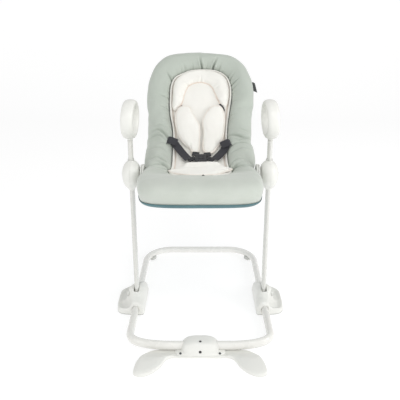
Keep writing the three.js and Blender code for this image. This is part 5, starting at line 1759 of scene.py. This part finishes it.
def super_ball(cx_, cy_, cz_, a, b, c_, e):
    def place(q):
        k = (np.abs(q[..., 0]) ** (2 / e) + np.abs(q[..., 1]) ** (2 / e) + np.abs(q[..., 2]) ** (2 / e)) ** (-e / 2)
        return world(np.stack([cx_ + a * q[..., 0] * k, cy_ + b * q[..., 1] * k, cz_ + c_ * q[..., 2] * k], -1))
    return place


# clamp cover
clamp = joined("clamp_shell", [sphere_of("dome", super_ball(0, -239, 0, 57, 31, 44.6, 0.62)), sphere_of("skirt", super_ball(0, -239, 0, 76.5, 32, 14.5, 0.5))])
remesh(clamp, 0.00095, smooth=14)
level(clamp, 6.0)
SCREWS = [(0, -250, 42.9), (0, -267.2, 18.0), (-58, -264.5, 12.2), (58, -264.5, 12.2)]
sec = oval(11.9, 14.4, 48)
boolean(clamp, tube_of("hole", [world(np.stack([np.full(48, x), -239 + sec[:, 0], TUBE_Z + sec[:, 1]], 1)) for x in (-95, 95)]))
tilt = {0: 16, 1: 58, 2: 16, 3: 16}
for i, (x, y, z) in enumerate(SCREWS):
    a = math.radians(tilt[i])

    def stand(q, x=x, y=y, z=z, a=a):
        return world(np.stack([x + q[..., 0], y + q[..., 1] * math.cos(a) - q[..., 2] * math.sin(a), z + q[..., 1] * math.sin(a) + q[..., 2] * math.cos(a)], -1))

    t = np.linspace(0, 2 * np.pi, 40, endpoint=False)
    well = tube_of("well", [stand(np.stack([r * np.cos(t), r * np.sin(t), np.full(40, h)], 1)) for h, r in ((-7.4, 1.9), (-2.7, 1.9), (-2.5, 3.9), (0.2, 3.9), (1.6, 4.9), (9, 5.4))])
    boolean(clamp, well)
    s_ = cross_screw(f"cover_screw_{i + 1}", 3.5, 1.6, 7.0, lambda q, f=stand: f(q - np.array([0, 0, 0.5])))
    finish_piece(s_, SCREW, "base", f"clamp_screw_{i + 1}", sharp=50)
finish_piece(clamp, WHITE, "base", "clamp_cover", sharp=45)

# rear feet: saddles of soft rubber under the rear bends, ribbed below
fa = math.radians(35)
fx0, fy0 = LEG_X - 100 + 100 * math.cos(fa), 275 + 100 * math.sin(fa)


def rear_place(q):
    return world(np.stack([fx0 + q[..., 0] * math.cos(fa) - q[..., 1] * math.sin(fa), fy0 + q[..., 0] * math.sin(fa) + q[..., 1] * math.cos(fa), q[..., 2]], -1))


rear = rounded_box("rear_pad", (15, 12, 7.5), 3.0, lambda q: rear_place(q + np.array([0, 0, 7.5])), 8)
sec = oval(13.0, 12.4, 44)
boolean(rear, tube_of("hole", [rear_place(np.stack([sec[:, 0], np.full(44, y), TUBE_Z + sec[:, 1]], 1)) for y in (-40, 40)]))
for y in (-7.5, -2.5, 2.5, 7.5):
    boolean(rear, rounded_box("rib", (30, 0.8, 0.9), 0.3, lambda q, y=y: rear_place(q + np.array([0, y, 0.0])), 2))
pair(rear, RUBBER, "base", "base", "rear_foot", sharp=40)

# ---------------------------------------------------------------- CAD nodes that stay
KEEP = {"seat_frame_tube": ENAMEL, "recline_bracket": GREY, "recline_lever": GREY}
for side in ("left", "right"):
    KEEP.update({f"{side}_pivot_pin": STEEL, f"{side}_knuckle": WHITE, f"{side}_brake_shoe": RUBBER,
                 f"{side}_slider_guide": GREY, f"{side}_hub_plate": GREY})
for name, paint in KEEP.items():
    o = frame["nodes"][name]
    if not o.hide_render:
        o.data.materials.clear()
        o.data.materials.append(paint)
